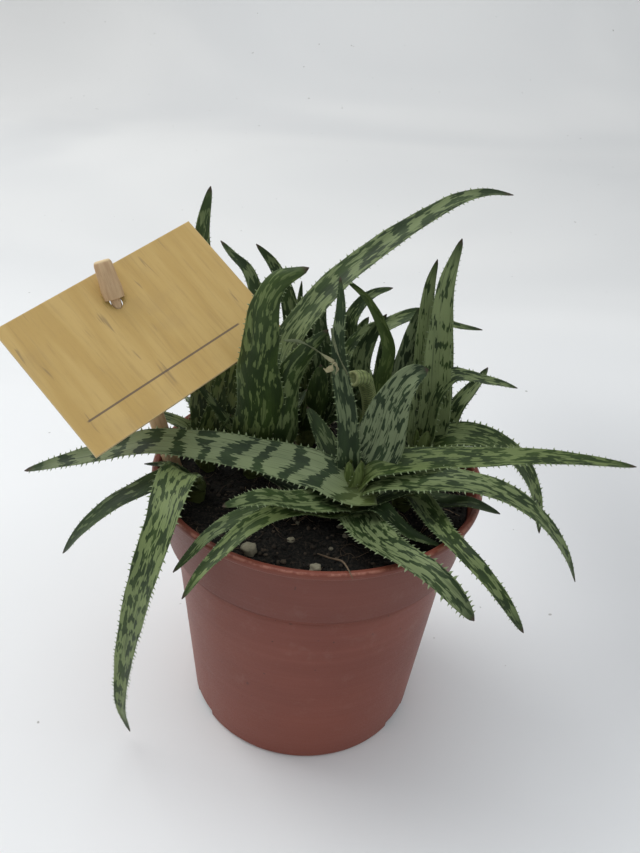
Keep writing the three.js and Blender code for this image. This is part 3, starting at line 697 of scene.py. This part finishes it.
def leaf_material():
    g = Graph("aloe_leaf", 0.5, 0.22)
    along, across, share, edge, under, tooth, seed, tone, banding, paleness, stem, young = (
        g.attribute(key) for key in LEAF_KEYS
    )
    layer = g.plus(seed, g.times(under, 0.9))
    off_teeth = g.minus(1.0, tooth, clamp=True)

    def streaked(along_scale, across_scale, detail, shift=0.0):
        """Noise about zero, drawn out along the leaf and different on each leaf and face."""
        place = g.plus(layer, shift)
        return g.minus(g.stretched(along, across, along_scale, across_scale, place, detail), 0.5)

    # Pale blocks in ragged crossbands, or pale patches, frayed along the leaf like a comb
    drift = g.times(streaked(0.045, 0.07, 1.0), 2.4)
    phase = g.plus(g.times(along, 1 / 10.5), g.plus(drift, seed))
    wave = g.math("SINE", g.times(phase, 2 * math.pi))
    patches = g.times(streaked(0.19, 0.55, 1.5, 3.0), 5.0)
    pattern = g.node("ShaderNodeMix", {0: banding, 2: patches, 3: wave}, 0)
    frays = g.times(streaked(0.17, 1.0, 1.0, 6.0), 3.6)
    fine = g.times(streaked(0.45, 2.4, 1.0, 9.0), 1.8)
    pattern = g.plus(g.plus(pattern, frays), g.plus(fine, paleness))
    pale = g.times(g.step(pattern, -0.18, 0.18), g.step(share, 0.995, 0.86, 0.1, 1.0))

    soft = streaked(0.06, 0.2, 2.0, 12.0)
    dark = g.mix(tone, (0.015, 0.029, 0.011), (0.022, 0.041, 0.008))
    dark = g.mix(g.step(soft, -0.12, 0.2), dark, g.mix(tone, (0.03, 0.054, 0.02), (0.047, 0.079, 0.015)))
    shaded = g.mix(tone, (0.117, 0.152, 0.078), (0.11, 0.152, 0.042))
    light = g.mix(tone, (0.2, 0.245, 0.132), (0.195, 0.255, 0.08))
    light = g.mix(g.step(paleness, -0.6, 0.35), shaded, light)
    light = g.mix(g.step(soft, -0.2, 0.15, 0.45, 0.0), light, shaded)
    g.body = g.mix(g.times(pale, 0.95), dark, light)
    streaks = streaked(0.06, 2.1, 1.5, 15.0)
    g.over(g.step(streaks, 0.05, 0.17, 0.0, 0.5), (0.02, 0.036, 0.012))

    # The yellowish foot, pale margins and teeth, dry tip, then the leaves with a colour of their own
    foot = g.times(g.step(share, 0.13, 0.02), 0.5)
    g.over(foot, (0.15, 0.19, 0.05))
    margin = g.times(g.step(edge, 0.6, 0.97), off_teeth)
    g.over(g.times(margin, 0.4), (0.16, 0.21, 0.09))
    g.over(g.step(tooth, 0.2, 0.6), (0.2, 0.26, 0.13))
    g.over(g.step(tooth, 0.7, 1.0), (0.42, 0.44, 0.3))
    tip = g.times(g.step(share, 0.965, 0.995), off_teeth)
    g.over(tip, (0.045, 0.03, 0.018))
    olive = g.mix(g.step(soft, -0.2, 0.2), (0.06, 0.095, 0.022), (0.085, 0.13, 0.036))
    g.over(g.step(tone, 0.9, 0.99), olive)
    fresh = g.times(young, g.step(tooth, 0.6, 0.2, 0.0, 0.45))
    g.over(fresh, (0.1, 0.135, 0.03))
    g.over(stem, (0.062, 0.078, 0.022))

    wax = streaked(0.7, 3.0, 3.0, 18.0)
    g.feed(g.shader.inputs["Roughness"], g.step(wax, -0.2, 0.2, 0.42, 0.58))
    g.bump(g.plus(g.times(wax, 0.7), g.times(streaks, 0.6)), 0.16, 0.6)
    return g.coloured()


def pot_material():
    g = Graph("terracotta_plastic", 0.42, 0.3)
    place = g.place_mm()
    x, y, z = g.split(place)
    radius = g.math("SQRT", g.plus(g.times(x, x), g.times(y, y)))
    clouds = g.noise(g.scaled(place, 0.02, 0.02, 0.035), 1.0, 3.0)
    flow = g.noise(g.scaled(place, 0.012, 0.012, 0.5), 1.0, 3.0, 0.6)
    grain = g.noise(place, 2.2, 3.0, 0.6)
    g.body = g.mix(g.step(clouds, 0.3, 0.7), (0.168, 0.043, 0.027), (0.198, 0.054, 0.034))
    g.over(g.step(flow, 0.42, 0.75, 0.0, 0.22), (0.25, 0.083, 0.058))
    specks = g.step(g.noise(place, 0.55, 1.0), 0.772, 0.79)
    g.over(specks, (0.09, 0.03, 0.022))
    dust = g.times(g.step(g.noise(place, 0.11, 4.0, 0.65), 0.55, 0.75), 0.12)
    g.over(dust, (0.36, 0.25, 0.2))
    # Painted light: the lower part of the pot painted lighter towards the bottom
    g.over(g.step(z, 60, 5, 0.0, 0.55), (0.235, 0.062, 0.038))
    # Painted shade: the collar's face painted a little darker
    collar = g.times(g.step(z, 81, 83), g.step(z, 105, 104.2))
    g.over(g.times(collar, 0.4), (0.095, 0.025, 0.016))
    # Painted shade: a dark band, broken by noise, just under the collar's foot
    broken_shade = g.step(g.noise(g.scaled(place, 0.05, 0.05, 0.3), 1.0, 3.0), 0.35, 0.65, 0.08, 0.6)
    foot = g.times(g.step(z, 75.5, 79.5), g.step(z, 83, 81.5))
    g.over(g.times(foot, broken_shade), (0.075, 0.022, 0.015))
    lip = g.step(z, 104.2, 105.0)
    g.over(g.times(lip, 0.6), (0.16, 0.043, 0.026))
    worn = g.times(g.step(z, 106.35, 106.9), g.step(radius, 58.6, 59.3))
    worn = g.times(worn, g.step(g.noise(place, 0.35, 3.0, 0.6), 0.4, 0.6))
    g.over(g.times(worn, 0.4), (0.5, 0.24, 0.17))
    roughness = g.plus(g.step(grain, 0.3, 0.7, 0.38, 0.52), g.times(foot, 0.35))
    g.feed(g.shader.inputs["Roughness"], roughness)
    g.bump(g.plus(g.times(grain, 0.25), g.times(flow, 0.9)), 0.12, 0.55)
    return g.coloured()


def soil_material():
    g = Graph("potting_soil", 0.95, 0.25)
    place = g.place_mm()
    grain = g.noise(place, 1.1, 5.0, 0.7)
    clods = g.noise(place, 0.16, 2.0)
    g.body = g.mix(g.step(grain, 0.42, 0.62), (0.006, 0.0065, 0.0055), (0.027, 0.023, 0.018))
    crumbly = g.times(g.step(clods, 0.5, 0.68), g.step(grain, 0.5, 0.66))
    g.over(crumbly, (0.06, 0.045, 0.03))
    g.bump(grain, 1.0, 0.9)
    return g.coloured()


def tinted_material(name, dark, pale, roughness, grain_scale):
    """Small scattered pieces: each has its own tint between two colours, with a fine grain."""
    g = Graph(name, roughness, 0.3)
    grain = g.noise(g.place_mm(), grain_scale, 4.0, 0.65)
    tint = g.plus(g.attribute("tint"), g.times(g.minus(grain, 0.5), 0.9), clamp=True)
    g.bump(grain, 0.4, 0.8)
    g.body = g.mix(tint, dark, pale)
    return g.coloured()


def card_material():
    g = Graph("printed_wood_card", 0.62, 0.22)
    x, y, depth = g.attribute("card_x"), g.attribute("card_y"), g.attribute("card_z")
    grain = g.stretched(x, y, 0.95, 0.055, 0.0, 4.0, 0.6, 0.25)
    bars = g.stretched(x, y, 0.16, 0.02, 4.0)
    fibre = g.stretched(x, y, 5.0, 0.3, 8.0, 3.0)
    g.body = g.mix(g.step(bars, 0.35, 0.65), (0.51, 0.34, 0.118), (0.57, 0.395, 0.15))
    g.over(g.step(grain, 0.48, 0.72, 0.0, 0.3), (0.36, 0.24, 0.1))
    g.over(g.step(fibre, 0.55, 0.75, 0.0, 0.16), (0.3, 0.2, 0.09))
    knots = g.stretched(x, y, 0.42, 0.045, 2.6, 2.0, 0.5, 0.4)
    g.over(g.step(knots, 0.665, 0.74, 0.0, 0.5), (0.18, 0.13, 0.085))
    stains = g.stretched(x, y, 0.05, 0.06, 9.0, 3.0)
    g.over(g.step(stains, 0.5, 0.75, 0.0, 0.22), (0.36, 0.25, 0.12))

    # The torn paper a little above the hole: its own darker colour, with painted shade of the torn flaps
    hole = g.combine(CARD["hole"][0], CARD["hole"][1] + 1.2)
    torn_and_shade = g.node("ShaderNodeVectorMath", {0: g.combine(x, y), 1: hole}, "Value", operation="DISTANCE")
    torn_and_shade = g.plus(torn_and_shade, g.times(fibre, 5.0))
    g.over(g.step(torn_and_shade, 7.2, 5.6, 0.0, 0.65), (0.3, 0.21, 0.055))

    rule = CARD["rule"]
    line = g.step(g.math("ABSOLUTE", g.minus(y, rule["y"])), rule["width"], rule["width"] * 0.6)
    line = g.times(line, g.step(x, rule["from"], rule["from"] + 1))
    line = g.times(line, g.step(x, rule["to"], rule["to"] - 1))
    line = g.times(line, g.step(depth, 0.2, 0.4))
    g.over(g.times(line, 0.8), (0.1, 0.075, 0.07))

    edges = []
    for place, half in ((x, CARD["long"] / 2), (y, CARD["short"] / 2)):
        edges.append(g.step(g.math("ABSOLUTE", place), half - 0.5, half - 0.05))
    rim = g.math("MAXIMUM", *edges)
    g.over(g.times(rim, 0.45), (0.62, 0.5, 0.3))
    g.bump(g.plus(grain, g.times(fibre, 0.5)), 0.08, 0.5)
    return g.coloured()


def dowel_material():
    g = Graph("bare_wood_dowel", 0.68, 0.3)
    along, around, end = g.attribute("along"), g.attribute("around"), g.attribute("end")
    grain = g.stretched(along, around, 0.05, 1.5, 0.0, 4.0, 0.6)
    pores = g.stretched(along, around, 0.4, 5.0, 3.0)
    g.body = g.mix(g.step(grain, 0.35, 0.65), (0.46, 0.3, 0.165), (0.58, 0.41, 0.24))
    g.over(g.step(pores, 0.6, 0.72, 0.0, 0.25), (0.3, 0.18, 0.1))
    g.over(g.times(end, 0.75), (0.74, 0.58, 0.34))
    damp = g.step(along, 62, 44)
    g.over(g.times(damp, 0.55), (0.12, 0.07, 0.045))
    g.bump(g.plus(grain, pores), 0.15, 0.5)
    return g.coloured()


def stalk_material():
    g = Graph("flower_stalk", 0.6, 0.25)
    along, around, end = g.attribute("along"), g.attribute("around"), g.attribute("end")
    fibre = g.stretched(along, around, 0.12, 2.2, 0.0, 3.0)
    uneven = g.stretched(along, around, 0.5, 0.5, 5.0)
    phase = g.plus(g.times(along, 2 * math.pi / 1.5), g.times(uneven, 5.0))
    ridges = g.plus(g.times(g.math("SINE", phase), 0.5), 0.5)
    g.body = g.mix(g.step(fibre, 0.3, 0.7), (0.17, 0.215, 0.075), (0.3, 0.35, 0.14))
    # Painted shade: darker in the grooves between the ring ridges
    g.over(g.times(g.step(ridges, 0.55, 0.15), 0.6), (0.07, 0.09, 0.04))
    g.over(g.times(end, 0.7), (0.42, 0.44, 0.2))
    g.bump(g.plus(ridges, g.times(fibre, 0.6)), 0.3, 0.8)
    return g.coloured()


def paper_material():
    g = Graph("paper_floor", 0.9, 0.2)
    place = g.place_mm()
    x, y, _ = g.split(place)
    waves = g.noise(g.scaled(place, 0.0016, 0.0022, 0.002), 1.0, 2.0, 0.5, 0.8)
    weave = g.noise(g.scaled(place, 0.05, 0.6, 0.3), 1.0, 3.0)
    g.bump(weave, 0.15, 0.2)
    # Painted shade: the paper painted darker further back and up the wall
    near = g.mix(g.step(waves, 0.3, 0.7), (0.82, 0.83, 0.835), (0.875, 0.88, 0.885))
    far = g.mix(g.step(waves, 0.3, 0.7), (0.67, 0.675, 0.675), (0.76, 0.76, 0.75))
    g.body = g.mix(g.step(y, 60, 620), near, far)
    # Painted shade: a soft darker patch on the floor to the right of the pot
    beside_pot_shade = g.times(g.step(y, 380, 60), g.step(y, -80, 30))
    right = g.times(g.step(x, 40, 190), beside_pot_shade)
    g.over(right, (0.56, 0.565, 0.575))
    # Painted shade: the wall painted darker towards its top left
    left = g.times(g.step(x, -80, -600), g.step(y, 750, 1600))
    g.over(left, (0.56, 0.56, 0.555))
    specks = g.step(g.noise(place, 0.14, 1.0), 0.795, 0.815, 0.0, 0.7)
    g.over(specks, (0.3, 0.29, 0.27))
    return g.coloured()


# Pot


def pot_inside():
    return [
        (0, POT["floor"]),
        (POT["base"] - POT["wall"], POT["floor"]),
        (POT["body_top"] - POT["wall"], POT["collar_foot"] - 1),
        (POT["collar_foot_radius"] - POT["wall"], POT["collar_foot"] + 1.5),
        (POT["collar_top"] - POT["wall"], POT["height"] - 2),
        (POT["collar_top"] - POT["wall"] + 0.3, POT["height"]),
    ]


def make_pot(material):
    top, foot = POT["height"], POT["collar_foot"]
    outside = [
        (POT["lip_radius"] - 0.5, top),
        (POT["lip_radius"], top - 0.6),
        (POT["lip_radius"], top - POT["lip_height"]),
        (POT["collar_top"] + 0.1, top - POT["lip_height"] - 0.5),
        (POT["collar_top"] - 0.35, top - POT["lip_height"] - 1.4),
        (POT["collar_foot_radius"] + 0.3, foot + 2.5),
        (POT["collar_foot_radius"] - 0.5, foot + 0.8),
        (POT["body_top"] + 0.3, foot - 0.6),
        (POT["body_top"] - 0.1, foot - 2.5),
        (POT["base"] + 0.1, 1),
        (POT["base"] - 0.8, 0),
        (0, 0),
    ]
    profile = soften([*reversed(outside), *reversed(pot_inside())], POT["softening"])
    pot = lathe("pot_moulding", profile, POT["sides"])
    cutters = []
    for heading in NOTCH["headings"]:
        bpy.ops.mesh.primitive_cube_add(size=1)
        cutter = bpy.context.object
        cutter.scale = (NOTCH["depth"] * MM, NOTCH["width"] * MM, 2 * NOTCH["height"] * MM)
        turn = math.radians(heading)
        cutter.location = (POT["base"] * MM * math.cos(turn), POT["base"] * MM * math.sin(turn), 0)
        cutter.rotation_euler = (0, 0, turn)
        cutters.append(cutter)
    bpy.context.view_layer.update()
    cut(pot, cutters)
    smooth_by_angle(pot, CREASE["pot"])
    pot.data.materials.clear()
    pot.data.materials.append(material)
    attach(pot, "root")
    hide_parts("pot")


# Soil


def soil_height(x, y):
    """The crumbly top of the soil."""
    height = SOIL["level"] + SOIL["swell"]
    for fineness, layer, rise in SOIL_RELIEF:
        height += rise * noise.noise(Vector((x * fineness, y * fineness, layer)))
    return height


def make_soil(material):
    gap, sides = SOIL["gap"], SOIL["sides"]
    inner = [(r - gap, z) for r, z in pot_inside() if r > 0 and z < SOIL["level"]]
    inner[0] = (inner[0][0], inner[0][1] + gap)
    slope = (POT["collar_top"] - POT["collar_foot_radius"]) / (POT["height"] - POT["collar_foot"])
    edge = inner[-1][0] + slope * (SOIL["level"] - inner[-1][1])
    rows = [[(r, z)] * sides for r, z in inner]
    for ring in range(SOIL["rings"], 0, -1):
        rows.append([(edge * ring / SOIL["rings"], None)] * sides)
    verts = [(0, 0, inner[0][1]), (0, 0, soil_height(0, 0))]
    for row in rows:
        for k, (radius, height) in enumerate(row):
            angle = 2 * math.pi * k / sides
            x, y = radius * math.cos(angle), radius * math.sin(angle)
            verts.append((x, y, soil_height(x, y) if height is None else height))
    last = 2 + (len(rows) - 1) * sides
    faces = bands(2, len(rows), sides)
    for k in range(sides):
        after = (k + 1) % sides
        faces.append((0, 2 + after, 2 + k))
        faces.append((1, last + k, last + after))
    soil = add_object("potting_soil", verts, faces)
    soil.data.materials.append(material)
    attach(soil, "root")
    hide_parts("soil")


def lump_shape(detail):
    work = bmesh.new()
    bmesh.ops.create_icosphere(work, subdivisions=detail, radius=1.0)
    verts = np.array([v.co[:] for v in work.verts])
    faces = [tuple(v.index for v in f.verts) for f in work.faces]
    work.free()
    return verts, faces


def scatter_lumps(name, places, detail, rng, material):
    """Irregular lumps, each (x, y, radius, tint), bedded in the soil."""
    shape, faces = lump_shape(detail)
    lumps = Pieces(["tint"])
    for x, y, radius, tint in places:
        shift = np.array([rng.uniform(-50, 50) for _ in range(3)])
        bumps = [noise.noise(Vector(point * LUMP["fineness"] + shift)) for point in shape]
        rough = 1 + LUMP["rough"] * np.array(bumps)
        squash = np.array([rng.uniform(*LUMP[way]) for way in ("wide", "wide", "tall")])
        turn = np.array(Matrix.Rotation(rng.uniform(0, 6.28), 3, "Z"))
        points = (shape * rough[:, None] * squash * radius) @ turn.T
        points += (x, y, soil_height(x, y) + LUMP["stand"] * radius)
        lumps.add(points, faces, tint=tint)
    obj = lumps.build(name)
    obj.data.materials.append(material)
    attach(obj, "root")


def lay_strands(name, routes, material):
    """Thin round strands, each (points, radius, tint)."""
    around = FIBRE["around"]
    strands = Pieces(["tint"])
    for points, radius, tint in routes:
        line, _ = even_points(smooth_route(points, 8), max(8, 4 * len(points)))
        radii = radius * np.interp(np.linspace(0, 1, len(line)), *FIBRE["taper"])
        strands.add(tube_points(line, radii, around), ring_faces(len(line), around), tint=tint)
    obj = strands.build(name)
    obj.data.materials.append(material)
    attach(obj, "root")


def dress_soil():
    rng = random.Random(SEED)
    stems = [at for at, _, _ in ROSETTES.values()]

    def free_place(limit):
        while True:
            radius, angle = limit * math.sqrt(rng.random()), rng.uniform(0, 2 * math.pi)
            x, y = radius * math.cos(angle), radius * math.sin(angle)
            if all(math.hypot(x - sx, y - sy) > SOIL["stem_room"] for sx, sy in stems):
                return x, y

    crumbs = []
    for _ in range(CRUMB["count"]):
        x, y = free_place(CRUMB["reach"])
        crumbs.append((x, y, rng.uniform(*CRUMB["size"]) ** 1.4 * 1.25, rng.random() ** 3 * 0.9))
    dark = tinted_material("soil_crumb", (0.006, 0.006, 0.005), (0.11, 0.085, 0.06), 0.95, 2.0)
    scatter_lumps("soil_crumbs", crumbs, 1, rng, dark)

    grit = [(x, y, radius, GRIT["perlite_tint"]) for x, y, radius in PERLITE]
    for _ in range(GRIT["count"]):
        x, y = free_place(GRIT["reach"])
        grit.append((x, y, rng.uniform(*GRIT["radius"]), rng.uniform(*GRIT["tint"])))
    pale = tinted_material("grit_lump", (0.11, 0.1, 0.07), (0.36, 0.33, 0.23), 0.9, 1.2)
    scatter_lumps("pale_grit", grit, 3, rng, pale)

    routes = [(LOOSE_FIBRE, 0.32, 0.6)]
    for _ in range(FIBRE["count"]):
        x, y = free_place(FIBRE["start_reach"])
        heading, bend = rng.uniform(0, 2 * math.pi), rng.uniform(-FIBRE["bend"], FIBRE["bend"])
        points = []
        for _ in range(rng.randint(*FIBRE["steps"])):
            points.append((x, y, soil_height(x, y) + rng.uniform(*FIBRE["stand"])))
            x, y = x + FIBRE["step"] * math.cos(heading), y + FIBRE["step"] * math.sin(heading)
            heading += bend + rng.uniform(-FIBRE["wander"], FIBRE["wander"])
            if math.hypot(x, y) > FIBRE["reach"]:
                break
        if len(points) > 2:
            routes.append((points, rng.uniform(*FIBRE["radius"]), rng.random() ** 2))
    fibre = tinted_material("root_fibre", (0.03, 0.022, 0.015), (0.22, 0.155, 0.095), 0.8, 2.5)
    lay_strands("root_fibres", routes, fibre)


# Card, dowel, flower stalk and shreds


def card_matrix():
    heading, rise, roll = (math.radians(CARD[key]) for key in ("face_heading", "face_rise", "roll"))
    face = Vector((math.cos(rise) * math.cos(heading), math.cos(rise) * math.sin(heading), math.sin(rise)))
    level = Vector((0, 0, 1)).cross(face).normalized()
    long_side = Matrix.Rotation(roll, 3, face) @ level
    short_side = face.cross(long_side)
    turn = Matrix((long_side, short_side, face)).transposed()
    return Matrix.Translation(Vector(CARD["centre"])) @ turn.to_4x4()


def dowel_line():
    foot = Vector(DOWEL["foot"])
    hole = card_matrix() @ Vector((*CARD["hole"], 0))
    along = (hole - foot).normalized()
    return foot - along * DOWEL["buried"], hole + along * DOWEL["past_card"]


def make_card(material):
    bevel = CARD["bevel"]
    xs, ys = (
        np.array([-half, -half + bevel, *np.linspace(-half, half, count)[1:-1], half - bevel, half])
        for half, count in ((CARD["long"] / 2, CARD["columns"]), (CARD["short"] / 2, CARD["rows"]))
    )
    # Two faces as grids, their rims lowered for a bevelled edge, and a band that joins them
    nx, ny = len(xs), len(ys)
    local, faces = [], []
    for top in (1, -1):
        for j, y in enumerate(ys):
            for i, x in enumerate(xs):
                rim = i in (0, nx - 1) or j in (0, ny - 1)
                local.append((x, y, top * (CARD["thick"] / 2 - (bevel if rim else 0))))
    for j in range(ny - 1):
        for i in range(nx - 1):
            a = j * nx + i
            faces.append((a, a + 1, a + nx + 1, a + nx))
            faces.append(tuple(nx * ny + k for k in (a, a + nx, a + nx + 1, a + 1)))
    loop = list(range(nx)) + [j * nx + nx - 1 for j in range(1, ny)]
    loop += [(ny - 1) * nx + i for i in range(nx - 2, -1, -1)] + [j * nx for j in range(ny - 2, 0, -1)]
    for a, b in zip(loop, loop[1:] + loop[:1]):
        faces.append((a, nx * ny + a, nx * ny + b, b))
    matrix = card_matrix()
    card = add_object("care_card", [matrix @ Vector(p) for p in local], faces)
    # The hole is punched along the dowel, from well before the card to past its top
    start, end = dowel_line()
    line = np.array([start.lerp(end, t)[:] for t in (0.4, 0.7, 1.05)])
    sides = CARD["hole_sides"]
    bore = [DOWEL["radius"] * DOWEL["waist"] + CARD["hole_play"]] * len(line)
    punch = add_object("punch", tube_points(line, bore, sides), ring_faces(len(line), sides))
    bpy.context.view_layer.update()
    cut(card, [punch])
    smooth_by_angle(card, CREASE["card"])
    back = matrix.inverted()
    flat = [back @ (v.co / MM) for v in card.data.vertices]
    for axis, key in enumerate(("card_x", "card_y", "card_z")):
        set_attribute(card.data, key, [p[axis] for p in flat])
    card.data.materials.clear()
    card.data.materials.append(material)
    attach(card, "root")
    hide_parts("tag_card")


def make_rod(name, verts, around, run, ends):
    """A solid of rings, with its distance along, its angle and its cut ends as coordinates."""
    attributes = {
        "along": np.repeat(run, around),
        "around": np.tile(np.abs(np.arange(around) / around - 0.5) * 6, len(run)),
        "end": np.repeat(ends, around),
    }
    return add_object(name, verts, ring_faces(len(run), around), attributes)


def make_dowel(material):
    start, end = (np.array(p[:]) for p in dowel_line())
    length = np.linalg.norm(end - start)
    stations = [place for place, _ in DOWEL_FOOT] + [length - back for back, _ in DOWEL_TOP]
    places = np.unique(np.concatenate([[0.01], np.linspace(2, length - 4, 60), stations]))
    girths = np.interp(places, stations, [girth for _, girth in DOWEL_FOOT + DOWEL_TOP])
    rng = random.Random(SEED + 3)
    facets = []
    for k in range(DOWEL["sides"]):
        hollow = DOWEL["flat_depth"] * abs(math.sin(DOWEL["flats"] * math.pi * k / DOWEL["sides"]))
        facets.append(1 - hollow + rng.uniform(-DOWEL["uneven"], DOWEL["uneven"]))
    line = start + (end - start) * (places / length)[:, None]
    ends = (places > length - DOWEL["cut_face"]).astype(float)
    verts = tube_points(line, np.outer(DOWEL["radius"] * girths, facets), DOWEL["sides"])
    dowel = make_rod("wooden_dowel", verts, DOWEL["sides"], places - places[0], ends)
    smooth_by_angle(dowel, CREASE["dowel"])
    dowel.data.materials.append(material)
    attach(dowel, "root")
    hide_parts("tag_dowel")


def make_stalk(material):
    line, length = even_points(smooth_route(STALK_ROUTE), STALK["rings"])
    around, rings = STALK["sides"], len(line)
    angles = turns(around)
    ribs = 1 - STALK["rib"] / STALK["radius"] * (0.5 + 0.5 * np.cos(STALK["ribs"] * angles))
    outer = np.outer(np.full(rings, STALK["radius"]), ribs)
    outer[-1] *= STALK["cut_girth"]
    tangent = (line[-1] - line[-2]) / np.linalg.norm(line[-1] - line[-2])
    sides, ups = frame_along(line)
    circle = np.cos(angles)[:, None] * sides[-1] + np.sin(angles)[:, None] * ups[-1]
    mouth = [line[-1] - tangent * depth + circle * STALK["bore"] * girth for depth, girth in STALK["mouth"]]
    verts = np.vstack([tube_points(line, outer, around), *mouth])
    run = [*np.linspace(0, length, rings), *[length] * len(mouth)]
    ends = [*[0] * (rings - 1), 1, 1, *[0.4] * (len(mouth) - 1)]
    stalk = make_rod("cut_flower_stalk", verts, around, run, ends)
    stalk.data.materials.append(material)
    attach(stalk, "root")
    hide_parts("flower_stalk_stub")


def make_shreds():
    """Dry shreds of old leaf tip caught between the leaves: thin twisted strips."""
    rings, around = SHRED["rings"], SHRED["around"]
    angles = turns(around)[None, :, None]
    twist = (SHRED["twist"] * np.sin(np.arange(rings) * SHRED["twist_pace"]))[:, None]
    strips = Pieces(["tint"])
    for shred in SHREDS:
        line, _ = even_points(smooth_route([p[:3] for p in shred], 10), rings)
        shares = np.linspace(0, 1, rings), np.linspace(0, 1, len(shred))
        half = np.interp(*shares, [p[3] for p in shred])[:, None]
        tint = np.interp(*shares, [p[4] for p in shred])
        sides, ups = frame_along(line)
        flat = half * (np.cos(twist) * sides + np.sin(twist) * ups)
        thin = SHRED["half_thick"] * (np.cos(twist) * ups - np.sin(twist) * sides)
        points = line[:, None] + np.cos(angles) * flat[:, None] + np.sin(angles) * thin[:, None]
        strips.add(points.reshape(-1, 3), ring_faces(rings, around), tint=np.repeat(tint, around))
    shreds = strips.build("dry_leaf_shreds")
    material = tinted_material("dry_shred", (0.09, 0.11, 0.055), (0.4, 0.36, 0.21), 0.8, 2.0)
    shreds.data.materials.append(material)
    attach(shreds, "root")


# Stage, light and camera


def make_stage(material):
    """A sheet of paper that runs back along the floor and curves up into a wall."""
    wall, curve = PAPER["wall"], PAPER["curve"]
    profile = [(PAPER["front"], 0), (PAPER["near"], 0), (0, 0), (wall - curve, 0)]
    for step in range(1, PAPER["arc_steps"] + 1):
        angle = math.pi / 2 * step / PAPER["arc_steps"]
        profile.append((wall - curve + curve * math.sin(angle), curve - curve * math.cos(angle)))
    profile.append((wall, PAPER["top"]))
    verts = [(x, y, z) for x in (-PAPER["side"], PAPER["side"]) for y, z in profile]
    n = len(profile)
    floor = add_object("paper_sweep", verts, [(k, n + k, n + k + 1, k + 1) for k in range(n - 1)])
    floor.data.materials.append(material)


def add_light(name, at, target, size, power, colour):
    data = bpy.data.lights.new(name, "AREA")
    data.shape, data.size, data.energy, data.color = "DISK", size, power, colour
    light = bpy.data.objects.new(name, data)
    light.location = at
    light.rotation_euler = (Vector(target) - Vector(at)).to_track_quat("-Z", "Y").to_euler()
    bpy.context.scene.collection.objects.link(light)


def make_lights():
    world = bpy.data.worlds.new("soft_daylight")
    world.use_nodes = True
    nodes, links = world.node_tree.nodes, world.node_tree.links
    background = next(n for n in nodes if n.type == "BACKGROUND")
    background.inputs["Color"].default_value = (*SKY["colour"], 1)
    direction, split = nodes.new("ShaderNodeTexCoord"), nodes.new("ShaderNodeSeparateXYZ")
    fade = nodes.new("ShaderNodeMapRange")
    links.new(direction.outputs["Generated"], split.inputs[0])
    links.new(split.outputs[1], fade.inputs[0])
    links.new(fade.outputs[0], background.inputs["Strength"])
    for socket, value in zip(list(fade.inputs)[1:5], (-1.0, 1.0, SKY["front"], SKY["back"])):
        socket.default_value = value
    bpy.context.scene.world = world
    for name, settings in LIGHTS.items():
        add_light(name, *settings)


def make_camera():
    pitch, roll, yaw = (math.radians(CAMERA[key]) for key in ("pitch", "roll", "yaw"))
    ahead = Vector((0, math.cos(pitch), -math.sin(pitch)))
    right = Vector((1, 0, 0))
    up = right.cross(ahead)
    right, up = math.cos(roll) * right + math.sin(roll) * up, math.cos(roll) * up - math.sin(roll) * right
    turn = Matrix.Rotation(yaw, 3, "Z") @ Matrix((right, up, -ahead)).transposed()
    data = bpy.data.cameras.new("photo_camera")
    data.sensor_width = CAMERA["sensor"]
    data.lens = data.sensor_width * CAMERA["focal_px"] / CAMERA["long_px"]
    data.clip_start = CAMERA["nearest"] * MM
    camera = bpy.data.objects.new("photo_camera", data)
    camera.matrix_world = Matrix.Translation(Vector(CAMERA["at"]) * MM) @ turn.to_4x4()
    bpy.context.scene.collection.objects.link(camera)
    bpy.context.scene.camera = camera


make_camera()
make_lights()
make_stage(paper_material())
make_pot(pot_material())
make_soil(soil_material())
dress_soil()
leaf = leaf_material()
for rosette, spec in ROSETTES.items():
    make_rosette(rosette, spec, leaf)
make_stalk(stalk_material())
make_card(card_material())
make_dowel(dowel_material())
make_shreds()

bpy.context.scene.view_settings.view_transform = "Standard"
